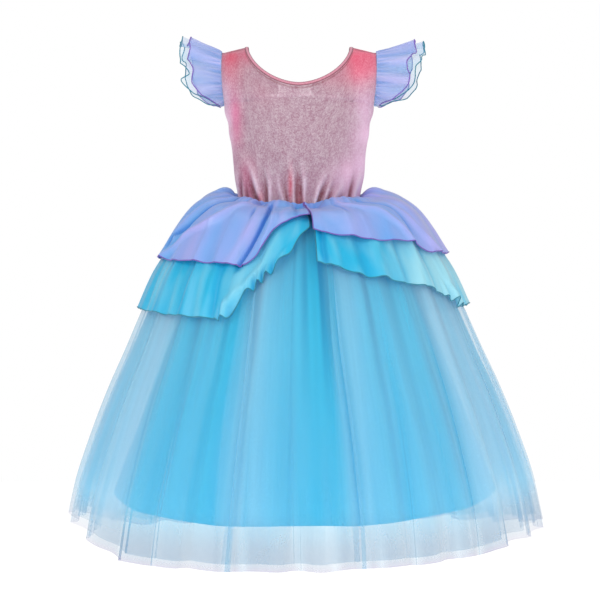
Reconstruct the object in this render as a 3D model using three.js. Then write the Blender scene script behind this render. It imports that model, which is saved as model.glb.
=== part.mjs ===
// A girl's princess costume dress, filled out as if worn: a velvet bodice with a scooped neck,
// two organza ruffles at each armhole, two organza peplum layers split at the shown centre,
// and a full skirt of two tulle layers over a satin lining.
// Millimetres, +Z up. The shown side faces -Y, and x grows to its right.
// The origin lies midway between the two neck points, on the line of the shoulder seams.
import * as THREE from "three";

// Cloth thicknesses and the gap between sewn pieces.
const VELVET = 1.5;
const SATIN = 1.2;
const TULLE = 1;
const ORGANZA = 1;
const BINDING = 2.3;
const LABEL = 0.8;
const SEAM_GAP = 0.3;

// Bodice. Heights are below the neck points.
const NECK_HALF_WIDTH = 67;
const NECK_DROP = 54;
const HIDDEN_NECK_DROP = 64;
const NECK_ROUNDNESS = 1.8;
const BINDING_WIDTH = 5;
const BINDING_PROUD = 0.4;
const SHOULDER_HALF_WIDTH = 101;
const SHOULDER_TIP = -8;
const UNDERARM = -77;
const ARMHOLE_HALF_DEPTH = 38;
const WAIST_AT_SIDE = -207;
const WAIST_DIP = 14;
const BODICE_SECTIONS = [
  { height: 0, halfWidth: 102, halfDepth: 72 },
  { height: -25, halfWidth: 102, halfDepth: 72 },
  { height: -77, halfWidth: 99.4, halfDepth: 74 },
  { height: -107, halfWidth: 94.7, halfDepth: 73 },
  { height: -137, halfWidth: 89.6, halfDepth: 70 },
  { height: -172, halfWidth: 86, halfDepth: 67 },
  { height: -200, halfWidth: 82, halfDepth: 64 },
  { height: -240, halfWidth: 82, halfDepth: 64 },
];
// Gathers drawn in at the waist: where they meet the waist, in degrees from the shown centre.
const WAIST_GATHERS = [-72, -52, -34, -19, -4, 8, 23, 42, 66];
const GATHER_DEPTH = 2.6;
const GATHER_HALF_WIDTH = 6;
const GATHER_HEIGHT = 95;

// Blank label inside the neck, under the shown side.
const LABEL_LEFT = -26;
const LABEL_RIGHT = 15;
const LABEL_BOTTOM = -78;

// Skirt profile at the side, along the outer tulle. The first row is the waist seam. The
// gathered cloth puffs up above it at the sides, and hangs flatter at the two centres.
const SKIRT_SECTIONS = [
  { height: -200.5, halfWidth: 83.4, halfDepth: 65.4 },
  { height: -196, halfWidth: 91.5, halfDepth: 73.5 },
  { height: -194.5, halfWidth: 98, halfDepth: 80 },
  { height: -200, halfWidth: 109, halfDepth: 92 },
  { height: -212, halfWidth: 125, halfDepth: 109 },
  { height: -228, halfWidth: 143, halfDepth: 128 },
  { height: -248, halfWidth: 158, halfDepth: 144 },
  { height: -274, halfWidth: 174, halfDepth: 160 },
  { height: -305, halfWidth: 193, halfDepth: 178 },
  { height: -353, halfWidth: 214, halfDepth: 199 },
  { height: -401, halfWidth: 234, halfDepth: 219 },
  { height: -449, halfWidth: 255, halfDepth: 240 },
  { height: -513, halfWidth: 279, halfDepth: 264 },
  { height: -577, halfWidth: 299, halfDepth: 284 },
  { height: -633, halfWidth: 310, halfDepth: 296 },
];
const LINING_SECTIONS = [
  { height: -204.5, halfWidth: 83.8, halfDepth: 65.8 },
  { height: -222, halfWidth: 93, halfDepth: 75 },
  { height: -262, halfWidth: 118, halfDepth: 102 },
  { height: -330, halfWidth: 149, halfDepth: 133 },
  { height: -410, halfWidth: 182, halfDepth: 167 },
  { height: -500, halfWidth: 216, halfDepth: 202 },
  { height: -583, halfWidth: 248, halfDepth: 235 },
];
// Pleats of the tulle: each starts at an angle from the shown centre and runs to the next row.
// The cloth rises sharply after the start and sinks slowly towards the next pleat.
const TULLE_PLEATS = [
  { start: -90, depth: 8 },
  { start: -76, depth: 9 },
  { start: -62, depth: 9 },
  { start: -47, depth: 10 },
  { start: -37, depth: 7 },
  { start: -27, depth: 9 },
  { start: -16.5, depth: 11 },
  { start: -4, depth: 9 },
  { start: 8.6, depth: 11 },
  { start: 20, depth: 9 },
  { start: 29, depth: 8 },
  { start: 39, depth: 8 },
  { start: 50, depth: 9 },
  { start: 63, depth: 9 },
  { start: 77, depth: 8 },
  { start: 90, depth: 9 },
  { start: 107, depth: 10 },
  { start: 121, depth: 8 },
  { start: 137, depth: 10 },
  { start: 152, depth: 9 },
  { start: 169, depth: 10 },
  { start: 184, depth: 8 },
  { start: 201, depth: 10 },
  { start: 217, depth: 9 },
  { start: 236, depth: 10 },
  { start: 252, depth: 8 },
];
const PLEAT_SKEW = 0.7;
// The skirt leans to the right of the shown side, and hangs lower at its left and at its middle.
const SKIRT_LEAN = { near: 4.5, hem: 7.5, nearRun: 80 };
const SKIRT_TILT = 0.018;
const HEM_DIP = { depth: 25, power: 0.6 };
// The blue tulle ends a little above the pale one. Towards the sides, most of all the left one,
// both are cut shorter: how much shorter their cloth is at each angle.
const UNDER_TULLE_SHORTER = 9;
const HEM_RISE = [
  { angle: -90, shorter: 24 },
  { angle: -76, shorter: 32 },
  { angle: -62, shorter: 27 },
  { angle: -55, shorter: 10 },
  { angle: -48, shorter: 0 },
  { angle: 45, shorter: 2 },
  { angle: 60, shorter: 6 },
  { angle: 80, shorter: 2 },
  { angle: 90, shorter: 0 },
  { angle: 225, shorter: 0 },
  { angle: 240, shorter: 8 },
  { angle: 255, shorter: 20 },
  { angle: 270, shorter: 24 },
];
const PLEAT_SAMPLES = [0, 0.14, 0.4, 0.68];
const LINING_FLUTES = 8;
const LINING_FLUTE_DEPTH = 6;

// How far each skirt layer stands from the outer tulle: at the waist seam and lower down.
const LAYERS = {
  tulleUnder: { atSeam: -1.4, below: -8, pleatShare: 0.9 },
  tulleOver: { atSeam: 0, below: 0, pleatShare: 1 },
  aqua: { atSeam: 1.6, below: 6.3, pleatShare: 1 },
  lilac: { atSeam: 3.2, below: 12.3, pleatShare: 1 },
};
const LAYER_SPREAD_RUN = 45;

// Peplum hems: the run of cloth from the waist seam to the hem at each angle.
const LILAC_LEFT_HEM = [
  { angle: 3.6, run: 62 },
  { angle: -0.5, run: 68 },
  { angle: -8, run: 76 },
  { angle: -13, run: 87 },
  { angle: -15.5, run: 102 },
  { angle: -19.5, run: 127 },
  { angle: -24, run: 138 },
  { angle: -35, run: 139 },
  { angle: -63, run: 142 },
  { angle: -180, run: 142 },
];
const AQUA_LEFT_HEM = [
  { angle: 3.3, run: 78 },
  { angle: -0.5, run: 90 },
  { angle: -5, run: 116 },
  { angle: -10.3, run: 135 },
  { angle: -14.7, run: 154 },
  { angle: -21, run: 176 },
  { angle: -25.4, run: 202 },
  { angle: -30, run: 209 },
  { angle: -57, run: 210 },
  { angle: -180, run: 212 },
];
const LILAC_RIGHT_HEM = [
  { angle: 4.6, run: 86 },
  { angle: 12.7, run: 94 },
  { angle: 26, run: 103 },
  { angle: 46, run: 112 },
  { angle: 57, run: 122 },
  { angle: 63, run: 133 },
  { angle: 86, run: 138 },
  { angle: 180, run: 142 },
];
const AQUA_RIGHT_HEM = [
  { angle: 5.6, run: 128 },
  { angle: 11.5, run: 137 },
  { angle: 26, run: 154 },
  { angle: 48.9, run: 174 },
  { angle: 60, run: 187 },
  { angle: 69, run: 207 },
  { angle: 86, run: 209 },
  { angle: 180, run: 212 },
];
const PEPLUM_COLUMN_STEP = 5;
const PUFF_RUN = 28;
const CENTRE_FLATTENING = 10;
// Broad drapes of the peplum, and the one deep fold left of its split.
const LILAC_DRAPES = { perTurn: 15, phase: 0.6, height: 4 };
const AQUA_DRAPES = { perTurn: 19, phase: 1.9, height: 3 };
const DEEP_FOLD = { angle: -25.5, halfWidth: 6, depth: 3.6 };

// Sleeve ruffles, round each armhole from underarm to underarm. Angles are from the top.
const RUFFLE_REACH = 162;
const RUFFLE_LENGTHS = [
  { angle: 0, share: 1 },
  { angle: 70, share: 0.95 },
  { angle: 100, share: 0.88 },
  { angle: 116, share: 0.72 },
  { angle: 132, share: 0.46 },
  { angle: 147, share: 0.25 },
  { angle: 162, share: 0.12 },
];
const RUFFLE_WAVES = 9;
const RUFFLE_WAVE_HEIGHT = 4.5;
const RUFFLE_ROOT_GAP = 0.5;
// The right pair reaches further out than the left pair, and flares less.
const RUFFLE_FLARE = { left: 16, right: 10 };
const RUFFLES = {
  lilac: { left: 46, right: 53, stand: 2.2, spread: 5 },
  aqua: { left: 57, right: 65, stand: 0.3, spread: 0.3 },
};

const radians = THREE.MathUtils.degToRad;
const clamp = THREE.MathUtils.clamp;
const smooth = (low, high, x) => THREE.MathUtils.smoothstep(x, low, high);

// A smooth rule through a table's column that never overshoots its rows (a monotone cubic).
function ruleOf(rows, key, column) {
  const x = rows.map((row) => row[key]);
  const y = rows.map((row) => row[column]);
  const last = x.length - 1;
  const rise = x.slice(1).map((value, i) => (y[i + 1] - y[i]) / (value - x[i]));
  const slope = x.map((_, i) => {
    if (i === 0) return rise[0];
    if (i === last) return rise[last - 1];
    const product = rise[i - 1] * rise[i];
    return product <= 0 ? 0 : (2 * product) / (rise[i - 1] + rise[i]);
  });
  const forward = x[last] > x[0];
  return (at) => {
    const inside = clamp(at, Math.min(x[0], x[last]), Math.max(x[0], x[last]));
    let i = 0;
    while (i < last - 1 && (forward ? inside > x[i + 1] : inside < x[i + 1])) i += 1;
    const span = x[i + 1] - x[i];
    const t = (inside - x[i]) / span;
    const startShare = (1 + 2 * t) * (1 - t) ** 2;
    const startSlope = t * (1 - t) ** 2;
    const endShare = t * t * (3 - 2 * t);
    const endSlope = t * t * (t - 1);
    return (
      startShare * y[i] +
      startSlope * span * slope[i] +
      endShare * y[i + 1] +
      endSlope * span * slope[i + 1]
    );
  };
}

// Adds the run of cloth from the first row to each row of a table of sections.
function withRuns(sections) {
  let run = 0;
  return sections.map((section, i) => {
    const before = sections[Math.max(i - 1, 0)];
    run += Math.hypot(section.height - before.height, section.halfWidth - before.halfWidth);
    return { ...section, run };
  });
}

// The outward direction of a face, from points close by on it.
function outwardOf(face, columns, rows) {
  const STEP = 1e-3;
  const [left, right] = [columns[0], columns[columns.length - 1]];
  const [top, hem] = [rows[0], rows[rows.length - 1]];
  const acrossStep = STEP * (right - left);
  const downStep = STEP * (hem - top);
  return (across, down) => {
    const alongRow = face(clamp(across + acrossStep, left, right), down).sub(
      face(clamp(across - acrossStep, left, right), down),
    );
    const alongColumn = face(across, clamp(down + downStep, top, hem)).sub(
      face(across, clamp(down - downStep, top, hem)),
    );
    return alongColumn.cross(alongRow).normalize();
  };
}

// An edge on a seam plane, x = 0 or y = 0, keeps its wall within the plane.
function squareToSeam(direction, point) {
  if (Math.abs(point.y) < SEAM_GAP) direction.y = 0;
  if (Math.abs(point.x) < SEAM_GAP) direction.x = 0;
  return direction.normalize();
}

// A closed wall of cloth. face(across, down) gives a point of its outer face, and the inner
// face lies one thickness behind it. A ring's last column joins its first one again.
function clothWall(name, face, columns, rows, thickness, material, options = {}) {
  const { ring = false, outward = outwardOf(face, columns, rows) } = options;
  const columnCount = columns.length;
  const rowCount = rows.length;
  const positions = [];
  const outer = [];
  const inner = [];
  for (let i = 0; i < columnCount; i += 1) {
    for (let j = 0; j < rowCount; j += 1) {
      const point = face(columns[i], rows[j]);
      const direction = squareToSeam(outward(columns[i], rows[j]), point);
      outer.push(point);
      inner.push(point.clone().addScaledVector(direction, -thickness));
    }
  }
  outer.concat(inner).forEach((point) => positions.push(point.x, point.y, point.z));
  const outside = (i, j) => (i % columnCount) * rowCount + j;
  const inside = (i, j) => outside(i, j) + columnCount * rowCount;
  const faces = [];
  const quad = (a, b, c, d) => faces.push(a, b, c, a, c, d);
  const spans = ring ? columnCount : columnCount - 1;
  for (let i = 0; i < spans; i += 1) {
    for (let j = 0; j < rowCount - 1; j += 1) {
      quad(outside(i, j), outside(i, j + 1), outside(i + 1, j + 1), outside(i + 1, j));
      quad(inside(i, j), inside(i + 1, j), inside(i + 1, j + 1), inside(i, j + 1));
    }
    quad(outside(i, 0), outside(i + 1, 0), inside(i + 1, 0), inside(i, 0));
    const hem = rowCount - 1;
    quad(inside(i, hem), inside(i + 1, hem), outside(i + 1, hem), outside(i, hem));
  }
  if (!ring) {
    const end = columnCount - 1;
    for (let j = 0; j < rowCount - 1; j += 1) {
      quad(inside(0, j), inside(0, j + 1), outside(0, j + 1), outside(0, j));
      quad(outside(end, j), outside(end, j + 1), inside(end, j + 1), inside(end, j));
    }
  }
  const geometry = new THREE.BufferGeometry();
  geometry.setAttribute("position", new THREE.Float32BufferAttribute(positions, 3));
  geometry.setIndex(faces);
  geometry.computeVertexNormals();
  const mesh = new THREE.Mesh(geometry, material);
  mesh.name = name;
  return mesh;
}

const evenSteps = (from, to, count) =>
  Array.from({ length: count + 1 }, (_, i) => from + ((to - from) * i) / count);

const fabric = (color, roughness) =>
  new THREE.MeshStandardMaterial({ color, roughness, metalness: 0, side: THREE.DoubleSide });
const MATERIALS = {
  velvet: fabric(0xb9798a, 0.8),
  binding: fabric(0xc4607a, 0.7),
  lilac: fabric(0x9fa4e6, 0.45),
  aqua: fabric(0x4cc4e0, 0.45),
  lining: fabric(0x6fc0e6, 0.4),
  tulle: fabric(0x7cc6ec, 0.8),
  paleTulle: fabric(0xd3dcf0, 0.8),
  label: fabric(0xe8e2e0, 0.6),
};

// Bodice surface. side is -1 on the shown side and 1 on the hidden one.
const bodiceHalfWidth = ruleOf(BODICE_SECTIONS, "height", "halfWidth");
const bodiceHalfDepth = ruleOf(BODICE_SECTIONS, "height", "halfDepth");
const ARMHOLE_MIDDLE = (SHOULDER_TIP + UNDERARM) / 2;
const ARMHOLE_HALF_HEIGHT = (SHOULDER_TIP - UNDERARM) / 2;

function shoulderHeight(x) {
  const share = (Math.abs(x) - NECK_HALF_WIDTH) / (SHOULDER_HALF_WIDTH - NECK_HALF_WIDTH);
  return SHOULDER_TIP * clamp(share, 0, 1);
}

function waistHeight(angle) {
  return WAIST_AT_SIDE - WAIST_DIP * Math.cos(radians(angle)) ** 2;
}

// The depth of the gathers at a bodice angle and height, always inwards.
function gatherDepth(angle, height) {
  const nearness = WAIST_GATHERS.reduce(
    (sum, at) => sum + Math.exp(-(((angle - at) / GATHER_HALF_WIDTH) ** 2)),
    0,
  );
  const fade = 1 - smooth(0, GATHER_HEIGHT, height - waistHeight(angle));
  return GATHER_DEPTH * nearness * fade;
}

function bodicePoint(side, angle, height) {
  const across = Math.sin(radians(angle));
  const middle = Math.max(Math.cos(radians(angle)), 0);
  const x = bodiceHalfWidth(height) * across;
  const climb = clamp((height - UNDERARM) / (shoulderHeight(x) - UNDERARM), 0, 1);
  const full = bodiceHalfDepth(height) * Math.sqrt(1 - climb ** 2);
  const fromMiddle = (height - ARMHOLE_MIDDLE) / ARMHOLE_HALF_HEIGHT;
  const edge = ARMHOLE_HALF_DEPTH * Math.sqrt(Math.max(1 - fromMiddle ** 2, 0));
  const inwards = gatherDepth(angle, height);
  const depth = edge + Math.max(full - edge, 0) * middle - inwards * middle;
  return new THREE.Vector3(x - inwards * across * 0.6, side * (SEAM_GAP / 2 + depth), height);
}

function bodiceAngle(x, height) {
  return THREE.MathUtils.radToDeg(Math.asin(clamp(x / bodiceHalfWidth(height), -1, 1)));
}

// The outward direction of the bodice, from a point beside it and one below it.
function bodiceOutward(side, angle, height) {
  const STEP = 0.05;
  const here = bodicePoint(side, angle, height);
  const below = bodicePoint(side, angle, height - STEP).sub(here);
  const left = bodicePoint(side, clamp(angle - STEP, -90, 90), height);
  const right = bodicePoint(side, clamp(angle + STEP, -90, 90), height);
  return below.cross(right.sub(left)).multiplyScalar(-side).normalize();
}

// The neckline at a share of the neck's half width, for an opening of given size.
function neckHeight(share, drop) {
  return -drop * Math.max(1 - Math.abs(share) ** NECK_ROUNDNESS, 0) ** (1 / NECK_ROUNDNESS);
}

// Shares of the neck's half width, closer together where the neckline turns up to the shoulder.
const NECK_SHARES = [0, 11, 22, 34, 45, 56, 67, 78, 85, 88].map((a) => Math.sin(radians(a)));

function bodicePanel(name, side, drop) {
  const neckWidth = NECK_HALF_WIDTH + BINDING_WIDTH;
  const neckAngle = bodiceAngle(neckWidth, 0);
  const strap = evenSteps(neckAngle, 90, 6);
  const right = NECK_SHARES.map((share) => bodiceAngle(share * neckWidth, 0)).concat(strap);
  const columns = right
    .slice(1)
    .reverse()
    .map((angle) => -angle)
    .concat(right);
  const topHeight = (angle) => {
    const x = bodiceHalfWidth(0) * Math.sin(radians(angle));
    const share = Math.abs(x) / neckWidth;
    if (share < 1) return neckHeight(share, drop + BINDING_WIDTH) - SEAM_GAP;
    return shoulderHeight(x);
  };
  const heightAt = (angle, down) => {
    const low = waistHeight(angle);
    return low + (topHeight(angle) - low) * Math.sin(radians(90 * (1 - down)));
  };
  const face = (across, down) => bodicePoint(side, -side * across, heightAt(-side * across, down));
  const outward = (across, down) =>
    bodiceOutward(side, -side * across, heightAt(-side * across, down));
  const rows = evenSteps(0, 1, 10);
  return clothWall(name, face, columns, rows, VELVET, MATERIALS.velvet, { outward });
}

// The binding runs round the whole neck, along the shown side and back along the hidden one.
function neckBinding() {
  const quarter = NECK_SHARES.concat(1);
  const shown = quarter
    .slice(1)
    .reverse()
    .map((share) => -share)
    .concat(quarter);
  const hidden = shown.slice(1, -1).map((share) => -share);
  const stops = shown
    .map((share) => ({ side: -1, share, drop: NECK_DROP }))
    .concat(hidden.map((share) => ({ side: 1, share, drop: HIDDEN_NECK_DROP })));
  const place = (index, down) => {
    const { side, share, drop } = stops[index];
    const grown = BINDING_WIDTH * down - SEAM_GAP;
    const height = neckHeight(share, drop + grown);
    return { side, angle: bodiceAngle(share * (NECK_HALF_WIDTH + grown), height), height };
  };
  const outward = (index, down) => {
    const { side, angle, height } = place(index, down);
    const direction = bodiceOutward(side, angle, height);
    if (Math.abs(stops[index].share) === 1) direction.y = 0;
    return direction.normalize();
  };
  const face = (index, down) => {
    const { side, angle, height } = place(index, down);
    const point = bodicePoint(side, angle, height);
    if (Math.abs(stops[index].share) === 1) point.y = 0;
    return point.addScaledVector(outward(index, down), BINDING_PROUD);
  };
  const columns = stops.map((_, i) => i);
  const options = { ring: true, outward };
  return clothWall("neck_binding", face, columns, [0, 1], BINDING, MATERIALS.binding, options);
}

function neckLabel() {
  const neckWidth = NECK_HALF_WIDTH + BINDING_WIDTH;
  const behind = VELVET + 2 * SEAM_GAP;
  const face = (across, down) => {
    const top = neckHeight(across / neckWidth, NECK_DROP + BINDING_WIDTH) - 2;
    const height = top + (LABEL_BOTTOM - top) * down;
    const point = bodicePoint(-1, bodiceAngle(across, height), height);
    point.y += behind;
    return point;
  };
  const columns = evenSteps(LABEL_LEFT, LABEL_RIGHT, 6);
  return clothWall("neck_label", face, columns, evenSteps(0, 1, 2), LABEL, MATERIALS.label);
}

// Skirt surface.
const SKIRT_RUNS = withRuns(SKIRT_SECTIONS);
const LINING_RUNS = withRuns(LINING_SECTIONS);
const SKIRT_LENGTH = SKIRT_RUNS[SKIRT_RUNS.length - 1].run;
const LINING_LENGTH = LINING_RUNS[LINING_RUNS.length - 1].run;

function profileOf(sections) {
  const height = ruleOf(sections, "run", "height");
  const halfWidth = ruleOf(sections, "run", "halfWidth");
  const halfDepth = ruleOf(sections, "run", "halfDepth");
  return (run, stand) => {
    const NEAR = 0.5;
    const last = sections[sections.length - 1].run;
    const from = clamp(run - NEAR, 0, last);
    const to = clamp(run + NEAR, 0, last);
    const out = halfWidth(to) - halfWidth(from);
    const fall = height(from) - height(to);
    const length = Math.hypot(out, fall);
    const fromSeam = smooth(0, 12, run);
    const push = (stand * fall * fromSeam) / length;
    return {
      halfWidth: halfWidth(run) + push,
      halfDepth: halfDepth(run) + push,
      height: height(run) + (stand * out) / length,
    };
  };
}
const skirtProfile = profileOf(SKIRT_RUNS);
const liningProfile = profileOf(LINING_RUNS);

// The pleat that holds an angle, and how far through it the angle lies.
function pleatAt(angle) {
  const first = TULLE_PLEATS[0].start;
  const turned = THREE.MathUtils.euclideanModulo(angle - first, 360) + first;
  let i = TULLE_PLEATS.length - 1;
  while (turned < TULLE_PLEATS[i].start) i -= 1;
  const next = i + 1 < TULLE_PLEATS.length ? TULLE_PLEATS[i + 1].start : first + 360;
  const { start, depth } = TULLE_PLEATS[i];
  return { depth, share: (turned - start) / (next - start) };
}

function pleatHeight(angle) {
  const { depth, share } = pleatAt(angle);
  return depth * Math.sin(2 * Math.PI * share ** PLEAT_SKEW);
}

function onSkirt(profile, angle, run, stand) {
  const { halfWidth, halfDepth, height } = profile(run, stand);
  const turn = radians(angle);
  const share = run / SKIRT_LENGTH;
  const lean = SKIRT_LEAN.near * smooth(0, SKIRT_LEAN.nearRun, run);
  const x = halfWidth * Math.sin(turn);
  const power = THREE.MathUtils.lerp(2, HEM_DIP.power, share);
  const flatter = CENTRE_FLATTENING * smooth(0, 12, run) * (1 - smooth(18, 75, run));
  const dip = THREE.MathUtils.lerp(WAIST_DIP, HEM_DIP.depth, share) + flatter;
  return new THREE.Vector3(
    x + lean + (SKIRT_LEAN.hem - SKIRT_LEAN.near) * share,
    -halfDepth * Math.cos(turn),
    height - dip * Math.abs(Math.cos(turn)) ** power + SKIRT_TILT * share * x,
  );
}

// Half a seam gap, away from the side seams or from the seam at the hidden centre.
const offSideSeam = (shown) => new THREE.Vector3(0, shown ? -SEAM_GAP / 2 : SEAM_GAP / 2, 0);
const offCentreSeam = (left) => new THREE.Vector3(left ? -SEAM_GAP / 2 : SEAM_GAP / 2, 0, 0);

function layerStand(layer, angle, run) {
  const spread = layer.atSeam + (layer.below - layer.atSeam) * smooth(0, LAYER_SPREAD_RUN, run);
  const growth = (run / SKIRT_LENGTH) ** 1.3;
  return spread + pleatHeight(angle) * growth * layer.pleatShare;
}

const PLEAT_ANGLES = TULLE_PLEATS.flatMap(({ start }, i) => {
  const next = i + 1 < TULLE_PLEATS.length ? TULLE_PLEATS[i + 1].start : 270;
  return PLEAT_SAMPLES.map((share) => start + (next - start) * share);
}).concat(270);

// Half of a skirt layer, between the side seams at the given angles.
function skirtHalf(name, from, to, length, rows, thickness, material, pointAt, angles) {
  const inside = angles.filter((angle) => angle > from + 1 && angle < to - 1);
  const columns = [from, ...inside, to];
  const below = evenSteps(0, 1, rows - 2).map((share) => share ** 1.1);
  const downs = [0, PUFF_RUN / 2, ...below.map((share) => PUFF_RUN + (length - PUFF_RUN) * share)];
  const apart = offSideSeam(from < 0);
  const face = (angle, run) => pointAt(angle, run).add(apart);
  return clothWall(name, face, columns, downs, thickness, material);
}

const hemRise = ruleOf(HEM_RISE, "angle", "shorter");

function tulleHalf(name, from, to, layer, length, rows, material) {
  const pointAt = (angle, fullRun) => {
    const run = fullRun - hemRise(angle) * (fullRun / length) ** 3;
    return onSkirt(skirtProfile, angle, run, layerStand(layer, angle, run));
  };
  return skirtHalf(name, from, to, length, rows, TULLE, material, pointAt, PLEAT_ANGLES);
}

function liningHalf(name, from, to) {
  const pointAt = (angle, run) => {
    const flute = LINING_FLUTE_DEPTH * (run / LINING_LENGTH);
    const stand = flute * Math.cos(radians(LINING_FLUTES * angle + 20));
    return onSkirt(liningProfile, angle, run, stand);
  };
  const angles = evenSteps(-90, 270, 56);
  return skirtHalf(name, from, to, LINING_LENGTH, 6, SATIN, MATERIALS.lining, pointAt, angles);
}

// One side of a peplum layer, from the split round to the hidden centre.
function peplumSide(name, hem, layer, drapes, fold, material) {
  const hemRun = ruleOf(hem, "angle", "run");
  const edge = hem.map((row) => row.angle);
  const [split, centre] = [edge[0], edge[edge.length - 1]];
  const count = Math.round(Math.abs(centre - split) / PEPLUM_COLUMN_STEP);
  const between = evenSteps(split, centre, count).filter((angle) =>
    edge.every((at) => Math.abs(at - angle) > PEPLUM_COLUMN_STEP / 2),
  );
  const columns = edge.concat(between).sort((a, b) => a - b);
  const apart = offCentreSeam(centre < 0);
  const face = (angle, down) => {
    const puff = Math.min(down, 1) * PUFF_RUN;
    const run = puff + (hemRun(angle) - PUFF_RUN) * Math.max(down - 1, 0);
    const swell = 0.5 + 0.5 * Math.cos(radians(angle) * drapes.perTurn + drapes.phase);
    const crease = Math.exp(-(((angle - DEEP_FOLD.angle) / DEEP_FOLD.halfWidth) ** 2));
    const own = drapes.height * swell * (1 - crease) - fold * crease;
    const stand = layerStand(layer, angle, run) + own * smooth(10, 70, run);
    return onSkirt(skirtProfile, angle, run, stand).add(apart);
  };
  const rows = [0, 0.5, 1, 1.33, 1.67, 2];
  return clothWall(name, face, columns, rows, ORGANZA, material);
}

const ruffleLength = ruleOf(RUFFLE_LENGTHS, "angle", "share");

// A ruffle round one armhole. side is -1 at the left of the shown side and 1 at its right.
function sleeveRuffle(name, side, length, flare, { stand, spread }, material) {
  const face = (across, down) => {
    const turn = radians(across);
    const height = ARMHOLE_MIDDLE + ARMHOLE_HALF_HEIGHT * Math.cos(turn);
    const long = length * ruffleLength(Math.abs(across)) * down;
    const share = long / length;
    const phase = (across / RUFFLE_REACH) * RUFFLE_WAVES * Math.PI;
    const wave = RUFFLE_WAVE_HEIGHT * share * Math.sin(phase);
    const off = stand + (spread - stand) * share + wave;
    const radial = long * Math.sin(flare) + off * Math.cos(flare);
    const out = long * Math.cos(flare) - off * Math.sin(flare);
    const root = bodiceHalfWidth(height) + RUFFLE_ROOT_GAP + stand * Math.sin(flare);
    return new THREE.Vector3(
      side * (root + out),
      side * (ARMHOLE_HALF_DEPTH + radial) * Math.sin(turn),
      height + radial * Math.cos(turn),
    );
  };
  const columns = evenSteps(-RUFFLE_REACH, RUFFLE_REACH, 36);
  return clothWall(name, face, columns, evenSteps(0, 1, 3), ORGANZA, material);
}

const dress = new THREE.Group();
const { tulleUnder, tulleOver, aqua, lilac } = LAYERS;
const foldDepth = DEEP_FOLD.depth;
const underLength = SKIRT_LENGTH - UNDER_TULLE_SHORTER;
dress.add(
  bodicePanel("bodice_back", -1, NECK_DROP),
  bodicePanel("bodice_front", 1, HIDDEN_NECK_DROP),
  neckBinding(),
  neckLabel(),
  liningHalf("lining_back", -90, 90),
  liningHalf("lining_front", 90, 270),
  tulleHalf("tulle_under_back", -90, 90, tulleUnder, underLength, 5, MATERIALS.tulle),
  tulleHalf("tulle_under_front", 90, 270, tulleUnder, underLength, 5, MATERIALS.tulle),
  tulleHalf("tulle_over_back", -90, 90, tulleOver, SKIRT_LENGTH, 6, MATERIALS.paleTulle),
  tulleHalf("tulle_over_front", 90, 270, tulleOver, SKIRT_LENGTH, 6, MATERIALS.paleTulle),
  peplumSide("peplum_aqua_left", AQUA_LEFT_HEM, aqua, AQUA_DRAPES, 0, MATERIALS.aqua),
  peplumSide("peplum_aqua_right", AQUA_RIGHT_HEM, aqua, AQUA_DRAPES, 0, MATERIALS.aqua),
  peplumSide("peplum_lilac_left", LILAC_LEFT_HEM, lilac, LILAC_DRAPES, foldDepth, MATERIALS.lilac),
  peplumSide("peplum_lilac_right", LILAC_RIGHT_HEM, lilac, LILAC_DRAPES, 0, MATERIALS.lilac),
);
for (const [side, word] of [
  [-1, "left"],
  [1, "right"],
]) {
  const flare = radians(RUFFLE_FLARE[word]);
  for (const [layer, material] of [
    ["lilac", MATERIALS.lilac],
    ["aqua", MATERIALS.aqua],
  ]) {
    const ruffle = RUFFLES[layer];
    dress.add(sleeveRuffle(`sleeve_${layer}_${word}`, side, ruffle[word], flare, ruffle, material));
  }
}

export default dress;
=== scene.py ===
import math

import bpy
import numpy as np
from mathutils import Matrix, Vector


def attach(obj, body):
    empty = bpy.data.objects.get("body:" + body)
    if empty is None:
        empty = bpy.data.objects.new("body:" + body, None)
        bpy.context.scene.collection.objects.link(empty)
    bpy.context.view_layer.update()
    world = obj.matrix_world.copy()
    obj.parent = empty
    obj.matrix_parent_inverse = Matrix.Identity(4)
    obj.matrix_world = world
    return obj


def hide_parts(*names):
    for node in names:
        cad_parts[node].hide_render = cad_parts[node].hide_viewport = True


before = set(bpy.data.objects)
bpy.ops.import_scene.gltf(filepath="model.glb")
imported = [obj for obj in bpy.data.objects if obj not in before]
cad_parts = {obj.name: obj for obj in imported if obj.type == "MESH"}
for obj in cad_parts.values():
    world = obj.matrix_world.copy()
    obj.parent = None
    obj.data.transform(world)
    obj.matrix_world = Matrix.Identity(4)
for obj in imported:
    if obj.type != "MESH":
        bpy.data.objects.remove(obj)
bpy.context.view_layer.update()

MM = 0.001


# Tables and smooth rules


def table(columns, *rows):
    """A table with named columns, each an array."""
    return dict(zip(columns.split(), np.array(rows, float).T))


def rule(rows, key, column):
    """A smooth rule through a table's column that never overshoots its rows."""
    order = np.argsort(rows[key])
    x, y = rows[key][order], rows[column][order]
    rise = np.diff(y) / np.diff(x)
    product, total = rise[:-1] * rise[1:], rise[:-1] + rise[1:]
    inner = np.where(product > 0, 2 * product / np.where(product > 0, total, 1), 0)
    slope = np.concatenate([rise[:1], inner, rise[-1:]])

    def at(value):
        inside = np.clip(value, x[0], x[-1])
        i = np.clip(np.searchsorted(x, inside, side="right") - 1, 0, len(x) - 2)
        span = x[i + 1] - x[i]
        t = (inside - x[i]) / span
        start = (1 + 2 * t) * (1 - t) ** 2 * y[i] + t * (1 - t) ** 2 * span * slope[i]
        end = t * t * (3 - 2 * t) * y[i + 1] + t * t * (t - 1) * span * slope[i + 1]
        return start + end

    return at


def smooth(low, high, x):
    """A soft step, 0 at low and 1 at high."""
    t = np.clip((x - low) / (high - low), 0, 1)
    return t * t * (3 - 2 * t)


def bell(x, half_width):
    """A soft bump, 1 at 0 and about a third at its half width."""
    return np.exp(-((x / half_width) ** 2))


def sin(degrees):
    return np.sin(np.radians(degrees))


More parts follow.
